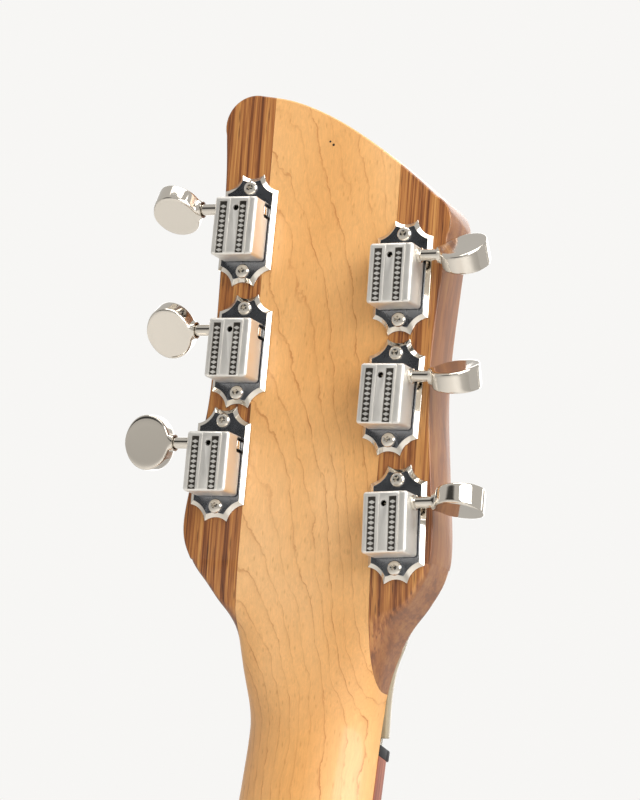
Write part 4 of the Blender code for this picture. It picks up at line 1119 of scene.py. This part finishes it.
posts = slottedPair([(0, 9.6), (3.4, 9.6), (4.2, 9.1), (4.2, 7.4), (0, 7.4)],
                    (-6, -0.5, 8.9), (6, 0.5, 11), 41.5, bridgeZ)
addPiece(posts, "bridgePosts", nickel)
tailMesh = carved(frontBlock(90, 20, 10.1, tailZ, 3.0, 8), [
    rodMesh((bridgeX, -7.5, -690), (bridgeX, -7.5, -640), 1.6, 24)
    for nutX, bridgeX, radius, tunerName in strings])
addPiece(tailMesh, "tailpieceBar", nickel, ("tailpiece",))
studs = slottedPair([(0, 11.6), (4.6, 11.6), (5.4, 11.0), (5.4, 9.6), (0, 9.6)],
                    (-7, -0.7, 10.7), (7, 0.7, 13), 38.0, tailZ)
addPiece(studs, "tailpieceStuds", nickel)

# back of the body: control cover and its screws
lidEdge, back = lip - 0.3, body["back"]
lid = boxMesh((lowX - lidEdge, lidSeat + 0.02, lowZ - lidEdge), (highX + lidEdge, back, highZ + lidEdge))
addPiece(bevelled(lid, 0.5, 3), "controlLid", blackPlastic, ("control_cover",))
lidScrews = [moved(smallScrew, at(x, back - 0.6, z, -90, "X"))
             for x in (lowX + 0.5, highX - 0.5) for z in (lowZ + 0.5, highZ - 0.5)]
addPiece(joinedMesh(lidScrews), "controlLidScrews", steel)

strapProfile = [(0, 12.0), (1.6, 12.0), (2.0, 12.2), (4.6, 12.2), (6.2, 11.8), (7, 10.9), (7, 9.8),
                (6.2, 8.9), (4.4, 7.6), (3.4, 6.2), (3.3, 3.6), (4.2, 2.0), (5.6, 1.0),
                (6, 0.7), (6, 0.45), (0, 0.45)]
washerProfile = [(3.3, 0.02), (7.4, 0.02), (7.4, 0.4), (3.3, 0.45)]
for end, turned in (("Tail", at(0, 20, -808, 180, "X")), ("Horn", at(-96, 40, -362, -90, "X"))):
    knobMesh = carved(latheMesh(strapProfile, 64), (
        boxMesh((-1.3, -0.3, 11.3), (1.3, 0.3, 13)), boxMesh((-0.3, -1.3, 11.3), (0.3, 1.3, 13))))
    addPiece(moved(knobMesh, turned), "strapButton" + end, nickel, ("strap_button_" + end.lower(),))
    washer = moved(latheMesh(washerProfile, 48, closed=True), turned)
    addPiece(washer, "strapFelt" + end, felt)
rodShape = latheMesh([(0, 17), (3.0, 17), (3.0, 9), (2.5, 9), (2.5, -440), (0, -440)], 32)
addPiece(moved(rodShape, at(0, 4.6, 0)), "trussRod", steel, ("truss_rod",))
print("hardware built")


# camera
scene = bpy.context.scene
cameraSpot = headFrame @ Vector((0.37457, -0.21805, 0.8251))
towards = headFrame.to_3x3()
right = towards @ Vector((0.914269, 0.077926, -0.397542))
upward = towards @ Vector((0.004439, 0.979339, 0.202177))
backward = right.cross(upward)
cameraData = bpy.data.cameras.new("camera")
camera = bpy.data.objects.new("camera", cameraData)
scene.collection.objects.link(camera)
camera.matrix_world = Matrix.Translation(cameraSpot) @ Matrix((right, upward, backward)).transposed().to_4x4()
cameraData.lens = 135.36
cameraData.sensor_width = 36
cameraData.clip_start = 0.02
cameraData.clip_end = 60
scene.camera = camera


# stage and light
lightAim = Vector((0, 0.02, 0.08))


def sheetLight(name, towardsLight, distance, size, strength, color):
    data = bpy.data.lights.new(name, "AREA")
    data.shape = "RECTANGLE"
    data.size, data.size_y = size
    data.energy = strength
    data.color = hexColor(color)[:3]
    lamp = bpy.data.objects.new(name, data)
    scene.collection.objects.link(lamp)
    lamp.location = lightAim + Vector(towardsLight).normalized() * distance
    lamp.rotation_euler = (lightAim - lamp.location).to_track_quat("-Z", "Z").to_euler()


floor = tempObject(boxMesh((-9000, -9000, -900), (9000, 9000, -890)))
floor.name = "studioFloor"
floor.data.materials.append(makePlastic("paleStudioFloor", "F2F1EF", 0.85, 0.0, 0.01, 4.0))

world = bpy.data.worlds.new("studio")
world.use_nodes = True
scene.world = world
worldTree = world.node_tree
worldBack = worldTree.nodes["Background"]
glow = partial(addNode, worldTree)
direction = glow("TexCoord", out="Generated")
# the room is light but for a dark card, fading from 15 to 30 degrees off its middle
cardWay = Vector((0.405, 0.914, 0.03)).normalized()
facing = glow("VectorMath", (direction, cardWay), "Value", operation="DOT_PRODUCT")
cardEdge = [math.cos(math.radians(angle)) for angle in (30, 15)]
darkCard = glow("MapRange", (facing, *cardEdge, 0.0, 1.0), interpolation_type="SMOOTHSTEP")
roomLight = glow("MapRange", (darkCard, 0.0, 1.0, 0.62, 0.06))
seenStraight = glow("LightPath", out="Is Camera Ray")
shown = glow("MapRange", (seenStraight, 0.0, 1.0, roomLight, 0.965))
worldTree.links.new(shown, worldBack.inputs["Strength"])
worldBack.inputs["Color"].default_value = hexColor("FBFAF8")

sheetLight("keySoftbox", (-0.95, 0.55, 0.35), 1.5, (1.1, 1.5), 22, "FFFFFF")
sheetLight("topSoftbox", (-0.1, 0.35, 1.0), 1.6, (1.4, 0.8), 14, "FFFDFA")
sheetLight("frontFill", (0.2, -1.0, 0.5), 1.8, (1.6, 1.6), 14, "FFFFFF")
scene.view_settings.view_transform = "Standard"
print("stage set")
